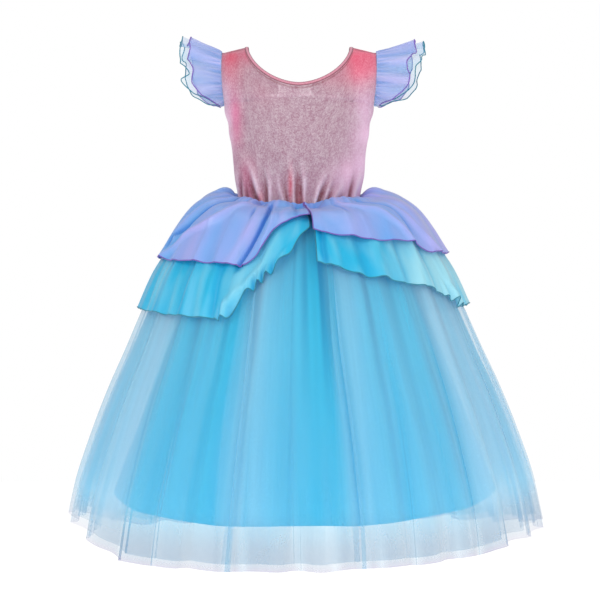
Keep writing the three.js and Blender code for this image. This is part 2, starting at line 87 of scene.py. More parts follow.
def cos(degrees):
    return np.cos(np.radians(degrees))


def mix(a, b, share):
    return a + (b - a) * share


def waves(angle, seed, counts):
    """An uneven wave round the dress, between about -1 and 1, the same at every full turn."""
    draw = np.random.default_rng(seed)
    total = 0
    for count in counts:
        total = total + draw.uniform(0.5, 1) * np.sin(np.radians(angle) * count + draw.uniform(0, 6.28))
    return total / len(counts)


# Uneven waves: how high each stands, the seed of its draws, and how many there are of each of its
# parts in a full turn.
WAVES = {
    "velvet": (0.9, 11, (4, 7, 11)),
    "lining": (2.2, 19, (11, 18, 27)),
    "tulle_flow": (2.2, 31, (9, 14, 23)),
    "tulle_fine": (0.7, 47, (38, 61, 83)),
    "tulle_hem": (2.0, 77, (17, 29, 41)),
    "tulle_cover": (0.05, 5, (21, 34, 55)),
    "tulle_pleat_shade": (1.8, 29, (28, 43, 61)),
    "waist_puff": (0.35, 57, (9, 15, 22)),
    "lilac_gathers": (1.7, 88, (33, 47, 71)),
    "aqua_gathers": (1.7, 87, (29, 43, 67)),
    "peplum_folds": (1.0, 27, (11, 17, 26)),
    "peplum_flutter": (2.0, 91, (19, 31, 44)),
    "peplum_hem": (1.6, 61, (24, 37, 52)),
    "peplum_tint": (0.42, 12, (4, 7, 11)),
    "ruffle_hem": (0.04, 0, (7, 11, 15)),
    "ruffle_tint": (1.0, 3, (5, 8, 12)),
    "ruffle_gathers": (2.0, 7, (19, 31, 46)),
    "ruffle_flutter": (3.0, 13, (9, 15, 26)),
}


def uneven(name, angle, seed=0):
    """One of the uneven waves, with a seed of its own added where pieces differ."""
    height, first_seed, counts = WAVES[name]
    return height * waves(angle, first_seed + seed, counts)


# Bodice form

NECK_HALF_WIDTH = 67
NECK_DROP = 54
HIDDEN_NECK_DROP = 64
NECK_ROUNDNESS = 1.8
BINDING_WIDTH = 5
SHOULDER_HALF_WIDTH = 101
SHOULDER_TIP = -8
UNDERARM = -77
ARMHOLE_HALF_DEPTH = 38
ARMHOLE_MIDDLE = (SHOULDER_TIP + UNDERARM) / 2
ARMHOLE_HALF_HEIGHT = (SHOULDER_TIP - UNDERARM) / 2
WAIST_AT_SIDE = -207
WAIST_DIP = 14
# The waist seam of the shown side lies lower on both sides of its middle. The pairs are cosines of
# the angle from the shown centre, between which the drop starts and ends.
SEAM_DROP = {"depth": 8.0, "starts": (0.06, 0.42), "ends": (0.55, 0.95)}
BODICE_SECTIONS = table(
    "height half_width half_depth",
    (0, 102, 72), (-25, 102, 72), (-77, 99.4, 74), (-107, 94.7, 73), (-137, 89.6, 70),
    (-172, 86, 67), (-200, 82, 64), (-240, 82, 64),
)
WAIST_GATHERS = (-72, -52, -34, -19, -4, 8, 23, 42, 66)
GATHER_DEPTH = 2.6
GATHER_HALF_WIDTH = 6
GATHER_SIDEWAYS = 0.6
GATHER_HEIGHT = 95
LABEL = {"left": -26, "right": 15, "bottom": -78, "trace": -72}

bodice_half_width = rule(BODICE_SECTIONS, "height", "half_width")
bodice_half_depth = rule(BODICE_SECTIONS, "height", "half_depth")


def shoulder_height(x):
    share = (np.abs(x) - NECK_HALF_WIDTH) / (SHOULDER_HALF_WIDTH - NECK_HALF_WIDTH)
    return SHOULDER_TIP * np.clip(share, 0, 1)


def waist_height(angle):
    return WAIST_AT_SIDE - WAIST_DIP * cos(angle) ** 2


def seam_drop(towards_shown):
    """How far the waist seam drops where the cosine of the angle from the shown centre is this."""
    started = smooth(*SEAM_DROP["starts"], towards_shown)
    return SEAM_DROP["depth"] * started * (1 - smooth(*SEAM_DROP["ends"], towards_shown))


def gather_depth(angle, height):
    nearness = sum(bell(angle - at, GATHER_HALF_WIDTH) for at in WAIST_GATHERS)
    fade = 1 - smooth(0, GATHER_HEIGHT, height - waist_height(angle))
    return GATHER_DEPTH * nearness * fade


def bodice_point(side, angle, height):
    """A point of the bodice. side is -1 on the shown side and 1 on the hidden one."""
    across, middle = sin(angle), np.maximum(cos(angle), 0)
    x = bodice_half_width(height) * across
    climb = np.clip((height - UNDERARM) / (shoulder_height(x) - UNDERARM), 0, 1)
    full = bodice_half_depth(height) * np.sqrt(1 - climb**2)
    from_middle = (height - ARMHOLE_MIDDLE) / ARMHOLE_HALF_HEIGHT
    edge = ARMHOLE_HALF_DEPTH * np.sqrt(np.maximum(1 - from_middle**2, 0))
    inwards = gather_depth(angle, height)
    depth = edge + np.maximum(full - edge, 0) * middle - inwards * middle
    return np.stack([x - inwards * across * GATHER_SIDEWAYS, side * depth, height + 0 * x], axis=-1)


def bodice_angle(x, height):
    share = np.clip(x / bodice_half_width(height), -1, 1)
    return np.degrees(np.arcsin(share))


def neck_height(share, drop):
    left = np.maximum(1 - np.abs(share) ** NECK_ROUNDNESS, 0)
    return -drop * left ** (1 / NECK_ROUNDNESS)


# Skirt form

SKIRT_SECTIONS = table(
    "height half_width half_depth",
    (-200.5, 83.4, 65.4), (-196, 91.5, 73.5), (-194.5, 98, 80), (-200, 109, 92), (-212, 125, 109),
    (-228, 143, 128), (-248, 158, 144), (-274, 174, 160), (-305, 193, 178), (-353, 214, 199),
    (-401, 234, 219), (-449, 255, 240), (-513, 279, 264), (-577, 299, 284), (-633, 310, 296),
)
LINING_SECTIONS = table(
    "height half_width half_depth",
    (-204.5, 83.8, 65.8), (-222, 93, 75), (-262, 118, 102), (-330, 149, 133), (-410, 182, 167),
    (-500, 216, 202), (-583, 248, 235),
)
TULLE_PLEATS = table(
    "start depth",
    (-90, 8), (-76, 9), (-62, 9), (-47, 10), (-37, 7), (-27, 9), (-16.5, 11), (-4, 9), (8.6, 11),
    (20, 9), (29, 8), (39, 8), (50, 9), (63, 9), (77, 8), (90, 9), (107, 10), (121, 8), (137, 10),
    (152, 9), (169, 10), (184, 8), (201, 10), (217, 9), (236, 10), (252, 8),
)
PLEAT_SKEW = 0.7
PLEAT_GROWTH = 1.3
SKIRT_LEAN = {"near": 4.5, "hem": 7.5, "near_run": 80}
SKIRT_TILT = 0.018
HEM_DIP = {"depth": 25, "power": 0.6}
# The cloth falls from the waist seam without a hump in the middle of both faces: how much it is
# lowered there, and the runs of cloth where that is full, where it fades and where it ends.
FLATTENING = {"depth": 14.5, "full": 12, "fades": 18, "ends": 75}
SEAM_DROP_RUN = (14, 62)
WAIST_DIP_POWER = 2
LINING_DROP = 6
LINING_FLUTES = 8
LINING_FLUTE_DEPTH = 6
LINING_FLUTE_PHASE = 20
LAYERS = {
    "tulle_under": {"at_seam": -1.4, "below": -8, "pleat_share": 0.9},
    "tulle_over": {"at_seam": 0, "below": 0, "pleat_share": 1},
    "aqua": {"at_seam": 1.6, "below": 6.3, "pleat_share": 1},
    "lilac": {"at_seam": 3.2, "below": 12.3, "pleat_share": 1},
}
LAYER_SPREAD_RUN = 45
UNDER_TULLE_SHORTER = 9
HEM_RISE = table(
    "angle shorter",
    (-90, 20), (-76, 24), (-62, 18), (-55, 8), (-48, 0), (45, 2), (60, 6), (80, 2), (90, 0),
    (225, 0), (240, 8), (255, 20), (270, 24),
)
hem_rise = rule(HEM_RISE, "angle", "shorter")


def with_runs(sections):
    steps = np.hypot(np.diff(sections["height"]), np.diff(sections["half_width"]))
    return {**sections, "run": np.concatenate([[0], np.cumsum(steps)])}


def profile_of(sections):
    """The section at a run of cloth from the waist, pushed out along the profile by a stand."""
    height, half_width, half_depth = (
        rule(sections, "run", column) for column in ("height", "half_width", "half_depth")
    )

    def at(run, stand):
        last = sections["run"][-1]
        low, high = np.clip(run - 0.5, 0, last), np.clip(run + 0.5, 0, last)
        out = half_width(high) - half_width(low)
        fall = height(low) - height(high)
        length = np.hypot(out, fall)
        push = stand * fall * smooth(0, 12, run) / length
        return half_width(run) + push, half_depth(run) + push, height(run) + stand * out / length

    return at


SKIRT_RUNS = with_runs(SKIRT_SECTIONS)
LINING_RUNS = with_runs(LINING_SECTIONS)
SKIRT_LENGTH = SKIRT_RUNS["run"][-1]
LINING_LENGTH = LINING_RUNS["run"][-1]
skirt_profile = profile_of(SKIRT_RUNS)
lining_profile = profile_of(LINING_RUNS)


def pleat_height(angle):
    """How far the tulle's pleats stand out at the hem."""
    starts = TULLE_PLEATS["start"]
    turned = (angle - starts[0]) % 360 + starts[0]
    i = np.searchsorted(starts, turned, side="right") - 1
    following = np.append(starts[1:], starts[0] + 360)
    share = (turned - starts[i]) / (following[i] - starts[i])
    return TULLE_PLEATS["depth"][i] * np.sin(2 * np.pi * share**PLEAT_SKEW)


def layer_stand(layer, angle, run):
    """How far a layer stands off the outer tulle's profile, with the pleats that it follows."""
    spread = mix(layer["at_seam"], layer["below"], smooth(0, LAYER_SPREAD_RUN, run))
    growth = (run / SKIRT_LENGTH) ** PLEAT_GROWTH
    return spread + pleat_height(angle) * growth * layer["pleat_share"]


def waist_drop(angle, run):
    """How far the cloth lies below the profile at each angle, and less towards the hem."""
    share = run / SKIRT_LENGTH
    power = mix(WAIST_DIP_POWER, HEM_DIP["power"], share)
    near = smooth(0, FLATTENING["full"], run) * (1 - smooth(FLATTENING["fades"], FLATTENING["ends"], run))
    dip = mix(WAIST_DIP, HEM_DIP["depth"], share) + FLATTENING["depth"] * near
    seam = seam_drop(cos(angle)) * (1 - smooth(*SEAM_DROP_RUN, run))
    return dip * np.abs(cos(angle)) ** power + seam


def on_skirt(profile, angle, run, stand):
    """A point of a skirt layer at an angle and a run of cloth from the waist."""
    half_width, half_depth, height = profile(run, stand)
    share = run / SKIRT_LENGTH
    lean = SKIRT_LEAN["near"] * smooth(0, SKIRT_LEAN["near_run"], run)
    lean = lean + (SKIRT_LEAN["hem"] - SKIRT_LEAN["near"]) * share
    x = half_width * sin(angle)
    z = height - waist_drop(angle, run) + SKIRT_TILT * share * x
    return np.stack([x + lean, -half_depth * cos(angle), z], -1)


# Peplum and sleeve forms

LILAC_LEFT_HEM = table(
    "angle run",
    (3.6, 62), (-0.5, 68), (-8, 76), (-13, 87), (-15.5, 102), (-19.5, 127), (-24, 138), (-35, 139),
    (-63, 142), (-180, 142),
)
AQUA_LEFT_HEM = table(
    "angle run",
    (3.3, 78), (-0.5, 90), (-5, 116), (-10.3, 135), (-14.7, 154), (-21, 176), (-25.4, 202),
    (-30, 209), (-57, 210), (-180, 212),
)
LILAC_RIGHT_HEM = table(
    "angle run",
    (4.6, 86), (12.7, 94), (26, 103), (46, 112), (57, 122), (63, 133), (86, 138), (180, 142),
)
AQUA_RIGHT_HEM = table(
    "angle run",
    (5.6, 128), (11.5, 137), (26, 154), (48.9, 174), (60, 187), (69, 207), (86, 209), (180, 212),
)
DRAPES = {
    "lilac": {"per_turn": 15, "phase": 0.6, "height": 4},
    "aqua": {"per_turn": 19, "phase": 1.9, "height": 3},
}
DEEP_FOLD = {"angle": -25.5, "half_width": 6, "depth": 3.6}

RUFFLE_REACH = 162
RUFFLE_LENGTHS = table(
    "angle share",
    (0, 1), (70, 0.95), (100, 0.88), (116, 0.72), (132, 0.46), (147, 0.25), (162, 0.12),
)
RUFFLE_FLARE = {"left": 16, "right": 10}
RUFFLE_WAVES = 9
RUFFLE_WAVE_HEIGHT = 4.5
RUFFLE_ROOT_GAP = 0.5
RUFFLES = {
    "lilac": {"left": 46, "right": 53, "stand": 2.2, "spread": 5, "seed": 105},
    "aqua": {"left": 57, "right": 65, "stand": 0.3, "spread": 0.3, "seed": 104},
}
ruffle_length = rule(RUFFLE_LENGTHS, "angle", "share")


# Meshes

# A direction that no edge runs along, from which a tube's section is turned.
TUBE_SIDE = np.array([0.31, 0.17, 0.94])


def normals_of(points):
    """The direction out of a grid of points, for columns that run to the right of the shown side."""
    across = np.gradient(points, axis=0)
    down = np.gradient(points, axis=1)
    normal = np.cross(down, across)
    length = np.linalg.norm(normal, axis=-1, keepdims=True)
    return normal / np.maximum(length, 1e-9)


def grid_faces(columns, rows, ring=False):
    i, j = np.meshgrid(np.arange(columns if ring else columns - 1), np.arange(rows - 1), indexing="ij")
    i, j = i.ravel(), j.ravel()
    after = (i + 1) % columns
    return np.stack([i * rows + j, i * rows + j + 1, after * rows + j + 1, after * rows + j], axis=-1)


def make_mesh(name, points, faces, material, uv=None, values=None, tint=None):
    """A smooth mesh object. Points are in millimetres. Values and the tint are given by point."""
    mesh = bpy.data.meshes.new(name)
    mesh.from_pydata((points * MM).tolist(), [], faces.tolist())
    mesh.shade_smooth()
    mesh.materials.append(material)
    if uv is not None:
        layer = mesh.uv_layers.new(name="cloth")
        loops = np.empty(len(mesh.loops), np.int32)
        mesh.loops.foreach_get("vertex_index", loops)
        layer.data.foreach_set("uv", uv[loops].astype(np.float32).ravel())
    for key, value in (values or {}).items():
        attribute = mesh.attributes.new(key, "FLOAT", "POINT")
        attribute.data.foreach_set("value", np.asarray(value, np.float32).ravel())
    if tint is not None:
        attribute = mesh.color_attributes.new("cloth_colour", "FLOAT_COLOR", "POINT")
        rgba = np.concatenate([tint, np.ones((len(tint), 1))], axis=1)
        attribute.data.foreach_set("color", rgba.astype(np.float32).ravel())
    thing = bpy.data.objects.new(name, mesh)
    bpy.context.scene.collection.objects.link(thing)
    return thing


def cloth_grid(name, points, material, values=None, tint=None, ring=False):
    """A sheet of cloth through a grid of points, with its material, values and tint."""
    columns, rows = points.shape[:2]
    return make_mesh(
        name,
        points.reshape(-1, 3),
        grid_faces(columns, rows, ring),
        material,
        run_lengths(points).reshape(-1, 2),
        {key: np.broadcast_to(value, (columns, rows)) for key, value in (values or {}).items()},
        None if tint is None else tint.reshape(-1, 3),
    )


def run_lengths(points):
    """Cloth coordinates in metres: along the columns and across them at half height."""
    down = np.linalg.norm(np.diff(points, axis=1), axis=-1).mean(axis=0)
    middle = points[:, points.shape[1] // 2]
    across = np.linalg.norm(np.diff(middle, axis=0), axis=-1)
    u = np.concatenate([[0], np.cumsum(across)])
    v = np.concatenate([[0], np.cumsum(down)])
    return np.stack(np.broadcast_arrays(u[:, None], -v[None, :]), axis=-1) * MM


def tube(name, route, radius, material, sides=6):
    """A thin round edge along a route of points."""
    tangent = np.vstack([route[1:], route[-1:]]) - np.vstack([route[:1], route[:-1]])
    tangent /= np.maximum(np.linalg.norm(tangent, axis=1, keepdims=True), 1e-9)
    first = np.cross(tangent, TUBE_SIDE)
    first /= np.maximum(np.linalg.norm(first, axis=1, keepdims=True), 1e-9)
    second = np.cross(tangent, first)
    turn = np.arange(sides) * 2 * np.pi / sides
    ring = first[:, None] * np.cos(turn)[None, :, None] + second[:, None] * np.sin(turn)[None, :, None]
    points = route[:, None] + ring * radius
    i, j = np.meshgrid(np.arange(len(route) - 1), np.arange(sides), indexing="ij")
    i, j = i.ravel(), j.ravel()
    beside = (j + 1) % sides
    near, far = i * sides, (i + 1) * sides
    faces = np.stack([near + j, near + beside, far + beside, far + j], -1)
    return make_mesh(name, points.reshape(-1, 3), faces, material)


def place(piece, node, flat, edges=(), area=None):
    """Puts a piece of cloth in the place of its solid, with its edges; its cut (flat and area) is not used.
    """
    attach(piece, "root")
    for edge in edges:
        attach(edge, "root")
    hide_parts(node)


# Materials


def colour(red, green, blue):
    """A linear colour from its red, green and blue as seen on a screen, from 0 to 255."""
    screen = np.array([red, green, blue]) / 255
    return np.where(screen <= 0.04045, screen / 12.92, ((screen + 0.055) / 1.055) ** 2.4)


class Shader:
    """A material's node tree, with short ways to add and join nodes."""

    def __init__(self, name):
        self.material = bpy.data.materials.new(name)
        self.material.use_nodes = True
        self.nodes = self.material.node_tree.nodes
        self.links = self.material.node_tree.links
        self.surface = self.nodes["Principled BSDF"]

    def node(self, kind, **inputs):
        made = self.nodes.new(kind)
        for key, value in inputs.items():
            self.put(made.inputs[key.replace("_", " ")], value)
        return made

    def put(self, socket, value):
        if isinstance(value, bpy.types.NodeSocket):
            self.links.new(value, socket)
        elif hasattr(value, "__len__") and socket.type == "RGBA" and len(value) == 3:
            socket.default_value = (*value, 1)
        else:
            socket.default_value = value

    def set(self, **inputs):
        """Values or nodes for the surface, by the names of its sockets."""
        for key, value in inputs.items():
            self.put(self.surface.inputs[key.replace("_", " ")], value)

    def cloth_place(self, across=1.0, along=1.0):
        """The place on the cloth in metres, scaled."""
        place_node = self.nodes.new("ShaderNodeUVMap")
        place_node.uv_map = "cloth"
        scale = self.node("ShaderNodeVectorMath")
        scale.operation = "MULTIPLY"
        self.links.new(place_node.outputs["UV"], scale.inputs[0])
        scale.inputs[1].default_value = (across, along, 1)
        return scale.outputs[0]

    def value(self, name):
        attribute = self.nodes.new("ShaderNodeAttribute")
        attribute.attribute_name = name
        return attribute.outputs["Fac"]

    def tint(self, name):
        attribute = self.nodes.new("ShaderNodeVertexColor")
        attribute.layer_name = name
        return attribute.outputs["Color"]

    def noise(self, place_at, scale, detail=2.0, roughness=0.5):
        made = self.node("ShaderNodeTexNoise", Scale=scale, Detail=detail, Roughness=roughness)
        self.links.new(place_at, made.inputs["Vector"])
        return made.outputs["Fac"]

    def fit(self, value, low, high, to_low, to_high):
        """A value between low and high, brought to the span from to_low to to_high."""
        made = self.nodes.new("ShaderNodeMapRange")
        for i, number in enumerate((value, low, high, to_low, to_high)):
            self.put(made.inputs[i], number)
        return made.outputs[0]

    def maths(self, operation, a, b=0.0):
        made = self.nodes.new("ShaderNodeMath")
        made.operation = operation
        self.put(made.inputs[0], a)
        self.put(made.inputs[1], b)
        return made.outputs[0]

    def blend(self, share, a, b, kind="MIX"):
        made = self.nodes.new("ShaderNodeMix")
        made.data_type = "RGBA"
        made.blend_type = kind
        self.put(made.inputs[0], share)
        self.put(made.inputs[6], a)
        self.put(made.inputs[7], b)
        return made.outputs[2]

    def bump(self, height, strength, distance):
        made = self.node("ShaderNodeBump", Strength=strength, Distance=distance)
        self.links.new(height, made.inputs["Height"])
        self.links.new(made.outputs["Normal"], self.surface.inputs["Normal"])

    def threads(self, per_metre):
        """Crossing threads as a height between 0 and 1."""
        heights = []
        for across, along in ((per_metre, 0), (0, per_metre)):
            wave = self.node("ShaderNodeTexWave", Scale=1.0)
            wave.bands_direction = "DIAGONAL"
            self.links.new(self.cloth_place(across, along), wave.inputs["Vector"])
            heights.append(wave.outputs["Fac"])
        return self.maths("MAXIMUM", *heights)


def velvet_material():
    """Short-pile velvet: speckled pile, with painted sheen that blushes towards the shoulders and sides, and
    painted highlight and shade over its creases.
    """
    shader = Shader("velvet")
    tufts = shader.node("ShaderNodeTexVoronoi", Scale=640)
    shader.links.new(shader.cloth_place(), tufts.inputs["Vector"])
    patches = shader.noise(shader.cloth_place(1.0, 0.5), 90, 3, 0.6)
    tuft_share = shader.maths("MULTIPLY", tufts.outputs["Color"], 0.5)
    speckle = shader.maths("ADD", tuft_share, shader.maths("MULTIPLY", patches, 0.5))
    lighter = shader.blend(0.26, shader.tint("cloth_colour"), (0.92, 0.86, 0.9))
    deeper = shader.blend(1.0, shader.tint("cloth_colour"), (0.78, 0.6, 0.68), "MULTIPLY")
    grain = shader.blend(shader.fit(speckle, 0.28, 0.72, 0.0, 1.0), deeper, lighter)
    shader.set(
        Base_Color=shader.blend(shader.value("glitter"), shader.tint("cloth_colour"), grain),
        Roughness=0.8,
        Sheen_Weight=0.3,
        Sheen_Roughness=0.4,
        Sheen_Tint=(1.0, 0.72, 0.84, 1.0),
    )
    shader.bump(speckle, 0.35, 0.0006)
    return shader.material


def organza_material(name, flat_colour, fold_colour, opacity, roughness=0.38):
    """Crisp organza: two tones of shot cloth that trade places over the folds, the second and lighter one on
    their crests partly as painted highlight, darkened by the painted shade of its tint, and a clear weave.
    """
    shader = Shader(name)
    drift = shader.noise(shader.cloth_place(1.0, 0.35), 26, 2, 0.5)
    share = shader.maths("ADD", shader.value("crest"), shader.fit(drift, 0.3, 0.7, -0.3, 0.3))
    weave = shader.threads(1400)
    thin = shader.maths("MULTIPLY", shader.value("opacity"), shader.fit(weave, 0, 1, 0.9, 1.06))
    body = shader.blend(shader.fit(share, 0, 1, 0, 1), flat_colour, fold_colour)
    shader.set(
        Base_Color=shader.blend(1.0, body, shader.tint("cloth_colour"), "MULTIPLY"),
        Roughness=roughness,
        Specular_IOR_Level=0.45,
        Sheen_Weight=0.25,
        Sheen_Roughness=0.35,
        Sheen_Tint=(0.9, 0.9, 1.0, 1.0),
        Alpha=shader.maths("MULTIPLY", thin, opacity),
    )
    crinkle = shader.noise(shader.cloth_place(1.0, 0.3), 150, 3, 0.55)
    shader.bump(crinkle, 0.25, 0.0012)
    return shader.material


def tulle_material(name):
    """Fine net: its threads let what lies behind show through."""
    shader = Shader(name)
    net = shader.node("ShaderNodeTexVoronoi", Scale=620)
    net.feature = "DISTANCE_TO_EDGE"
    shader.links.new(shader.cloth_place(), net.inputs["Vector"])
    mesh_share = shader.fit(net.outputs["Distance"], 0.02, 0.16, 1.05, 0.97)
    streaks = shader.noise(shader.cloth_place(1.0, 0.04), 90, 3, 0.6)
    opacity = shader.maths("MULTIPLY", shader.value("opacity"), mesh_share)
    opacity = shader.maths("MULTIPLY", opacity, shader.fit(streaks, 0.3, 0.7, 0.93, 1.07))
    shader.set(
        Base_Color=shader.tint("cloth_colour"),
        Roughness=0.7,
        Specular_IOR_Level=0.25,
        Sheen_Weight=0.2,
        Sheen_Roughness=0.5,
        Alpha=opacity,
    )
    return shader.material


def satin_material(name, base):
    """Smooth satin with a soft drift of light and a fine weave."""
    shader = Shader(name)
    drift = shader.noise(shader.cloth_place(1.0, 0.12), 30, 2, 0.5)
    weave = shader.threads(1100)
    lighter = shader.blend(0.5, base, (0.75, 0.93, 1.0))
    shader.set(
        Base_Color=shader.blend(shader.fit(drift, 0.3, 0.75, 0.0, 0.5), base, lighter),
        Roughness=0.36,
        Specular_IOR_Level=0.4,
        Anisotropic=0.3,
        Sheen_Weight=0.1,
    )
    shader.bump(weave, 0.08, 0.0004)
    return shader.material


def thread_material(name, base):
    """A rolled edge, close-set with thread."""
    shader = Shader(name)
    texture = shader.node("ShaderNodeTexCoord")
    twist = shader.noise(texture.outputs["Object"], 900, 2, 0.6)
    darker = tuple(0.7 * part for part in base)
    shader.set(
        Base_Color=shader.blend(shader.fit(twist, 0.35, 0.65, 0, 1), darker, tuple(base)),
        Roughness=0.5,
        Sheen_Weight=0.2,
    )
    shader.bump(twist, 0.4, 0.0003)
    return shader.material


def binding_material():
    """The velvet band round the neck, with painted shade where it turns in at its rims."""
    shader = Shader("binding")
    fine = shader.noise(shader.cloth_place(), 800, 3, 0.6)
    speckled = shader.blend(shader.fit(fine, 0.35, 0.65, 0, 1), colour(206, 122, 146), colour(232, 168, 186))
    dark = colour(96, 22, 40)
    shader.set(
        Base_Color=shader.blend(shader.value("rim_shade"), speckled, dark),
        Roughness=0.6,
        Sheen_Weight=0.3,
        Sheen_Tint=(1.0, 0.75, 0.82, 1.0),
    )
    shader.bump(fine, 0.3, 0.0005)
    return shader.material


VELVET = velvet_material()
BINDING = binding_material()
LILAC = organza_material("lilac_organza", colour(112, 180, 246), colour(180, 182, 248), 0.94, 0.3)
AQUA = organza_material("aqua_organza", colour(34, 198, 242), colour(172, 238, 254), 0.84)
LILAC_SLEEVE = organza_material("lilac_sleeve_organza", colour(142, 176, 236), colour(200, 196, 246), 1.0)
AQUA_SLEEVE = organza_material("aqua_sleeve_organza", colour(104, 190, 224), colour(190, 204, 240), 1.0)
LILAC_EDGE = thread_material("lilac_edge", colour(132, 92, 200))
AQUA_EDGE = thread_material("aqua_edge", colour(24, 140, 165))
BLUE_TULLE = tulle_material("blue_tulle")
PALE_TULLE = tulle_material("pale_tulle")
LINING = satin_material("lining_satin", colour(66, 201, 242))
LABEL_SATIN = satin_material("label_satin", colour(236, 230, 230))
WHITE = np.ones(3)


# Bodice

# The velvet's middle colour, the painted shade of its creases' valleys and below the neck band, the red
# painted shade of its pockets at the waist, and the painted highlight of its creases' ridges and the label's
# outline.
BODICE_COLOURS = {
    "middle": colour(180, 148, 162),
    "pocket": colour(136, 44, 66),
    "red_pocket": colour(212, 52, 84),
    "crest": colour(246, 222, 234),
}
# Painted sheen: where the pile catches the light, painted into the velvet's colour as coral, pink and pale
# patches: the middle of each patch, its reach, and its colour.
PAINTED_SHEEN_PATCHES = table(
    "x z half_width half_height red green blue strength",
    (84, -20, 27, 34, 250, 58, 106, 1.0),
    (-90, -20, 15, 28, 220, 52, 92, 0.95),
    (-66, -12, 12, 18, 218, 98, 128, 0.8),
    (-84, -98, 10, 40, 226, 112, 158, 0.75),
    (-97, -135, 9, 66, 244, 208, 232, 0.95),
    (-70, -190, 14, 34, 222, 118, 156, 0.8),
    (88, -146, 18, 78, 246, 204, 232, 1.0),
    (80, -206, 14, 10, 238, 124, 154, 0.7),
    (64, -184, 22, 30, 246, 200, 226, 0.95),
    (44, -42, 24, 20, 204, 118, 142, 0.5),
    (-48, -62, 26, 24, 188, 126, 146, 0.4),
    (0, -196, 60, 22, 196, 128, 150, 0.4),
)
# Creases of the bodice, from the waist up: where each starts and ends on the shown side.
BODICE_CREASES = table(
    "x z to_x to_z height half_width pocket_side",
    (-76, -203, -84, -160, 2.4, 1.5, 1),
    (-70, -205, -75, -168, 2.2, 1.5, 1),
    (-43, -215, -70, -150, 2.8, 2.0, -1),
    (-36, -217, -42, -160, 2.4, 1.7, -1),
    (-20, -214, -29, -165, 1.5, 2.0, 1),
    (-5, -213, -13, -148, 2.0, 1.9, 1),
    (8, -214, 4, -155, 2.2, 1.8, -1),
    (18, -217, 36, -165, 2.6, 1.9, 1),
    (29, -213, 46, -170, 1.6, 1.7, 1),
    (44, -210, 61, -174, 1.5, 2.0, 1),
    (70, -203, 82, -160, 2.2, 1.8, -1),
)
HIDDEN_CREASES = table(
    "x z to_x to_z height half_width pocket_side",
    (-74, -204, -83, -163, 2.2, 1.7, 1),
    (-50, -213, -62, -160, 2.6, 1.9, -1),
    (-28, -216, -34, -165, 2.2, 1.8, 1),
    (-9, -214, -6, -152, 2.4, 1.9, -1),
    (12, -215, 20, -160, 2.3, 1.9, 1),
    (33, -214, 38, -170, 2.0, 1.8, 1),
    (56, -208, 70, -160, 2.5, 1.9, -1),
    (74, -204, 82, -168, 2.0, 1.6, 1),
)
# Pockets of shade between the creases at the waist.
RED_POCKETS = table(
    "x z half_width half_height",
    (-52, -204, 6, 10),
    (1, -208, 5, 8),
    (-11, -190, 3, 20),
    (-74, -204, 3, 8),
)
# How a crease runs: how far it bends aside, the shares of its length where it rises and fades, how
# much wider it gets, and its valley's place, width and depth against its own.
CREASE = {
    "bend": 1.2, "rises": (-0.4, 0.05), "fades": (0.25, 1.15), "widens": 1.2,
    "valley_at": 2.1, "valley_width": 0.9, "valley_depth": 0.8,
}
# How strongly the painted highlight on the creases' ridges, the red painted shade of the pockets, the painted
# shade below the band's turned edge and the painted shade in the creases' valleys show in the velvet's
# colour.
VELVET_SHOW = {
    "crest": 0.42, "most_crest": 0.9, "red": 0.85, "edge": 0.6, "pocket": 1.3, "most_painted_shade": 0.92,
}
# The least glitter of the pile, what the open cloth adds, and the share that a patch of painted sheen takes
# away.
GLITTER = {"least": 0.22, "more": 0.72, "loss": 0.85}


def crease_relief(creases, x, z):
    """Ridges that rise from the waist, each with a valley at one side, and how much painted shade each valley
    gets.
    """
    relief, pocket = np.zeros_like(x), np.zeros_like(x)
    for row in zip(*creases.values()):
        start_x, start_z, end_x, end_z, height, half_width, pocket_side = row
        along = np.array([end_x - start_x, end_z - start_z])
        length = np.hypot(*along)
        along = along / length
        t = ((x - start_x) * along[0] + (z - start_z) * along[1]) / length
        off = (x - start_x) * along[1] - (z - start_z) * along[0]
        off = off + CREASE["bend"] * np.sin(t * 5 + start_x)
        fade = smooth(*CREASE["rises"], t) * (1 - smooth(*CREASE["fades"], t))
        wide = half_width * (1 + CREASE["widens"] * np.clip(t, 0, 1))
        relief += height * fade * bell(off, wide)
        valley_off = off - pocket_side * CREASE["valley_at"] * wide
        valley = fade * bell(valley_off, wide * CREASE["valley_width"])
        relief -= CREASE["valley_depth"] * height * valley
        pocket = np.maximum(pocket, 0.5 * valley * height * (1 - smooth(0.1, 1.0, t)))
    return relief, pocket


# Soft waves of the velvet run slanting, from nothing at one height to full at another.
VELVET_WAVES = {"across": 1.9, "down": 0.35, "none": -60, "full": -130}
# Small pulls below the armholes: how high, how far apart, where, and the distances from the middle
# between which they grow.
ARMHOLE_PULL = {
    "height": 1.0, "spacing": 5.5, "phase": 60, "at": -95, "half_height": 26, "across": (74, 98),
}
# The side seams draw the cloth in, within a reach from the seam and from below the armhole.
SIDE_SEAM = {"depth": 0.9, "reach": 3.5, "flat": 0.3, "below": -70}
# Where the velvet goes down with the lowered waist seam.
SEAM_DROP_HEIGHTS = (-168, -196)


def bodice_columns(neck_width, per_quarter=96, strap_steps=22):
    """Angles of a panel's columns, from side to side, closer together at the ends of the neck."""
    neck_angle = float(bodice_angle(neck_width, 0))
    shares = sin(np.linspace(0, 89.2, per_quarter))
    right = np.concatenate([bodice_angle(shares * neck_width, 0), np.linspace(neck_angle, 90, strap_steps)])
    return np.concatenate([-right[:0:-1], right])


def bodice_heights(angle, neck_width, drop, rows):
    """The heights of a panel's points, closest together at its top edge, and that edge."""
    x_top = bodice_half_width(0.0) * sin(angle)
    share = np.abs(x_top) / neck_width
    neck = neck_height(np.minimum(share, 1), drop + BINDING_WIDTH)
    top = np.where(share < 1, neck, shoulder_height(x_top))
    low = waist_height(angle)
    down = np.linspace(0, 1, rows)[None, :]
    return low + (top - low) * sin(90 * (1 - down)), top


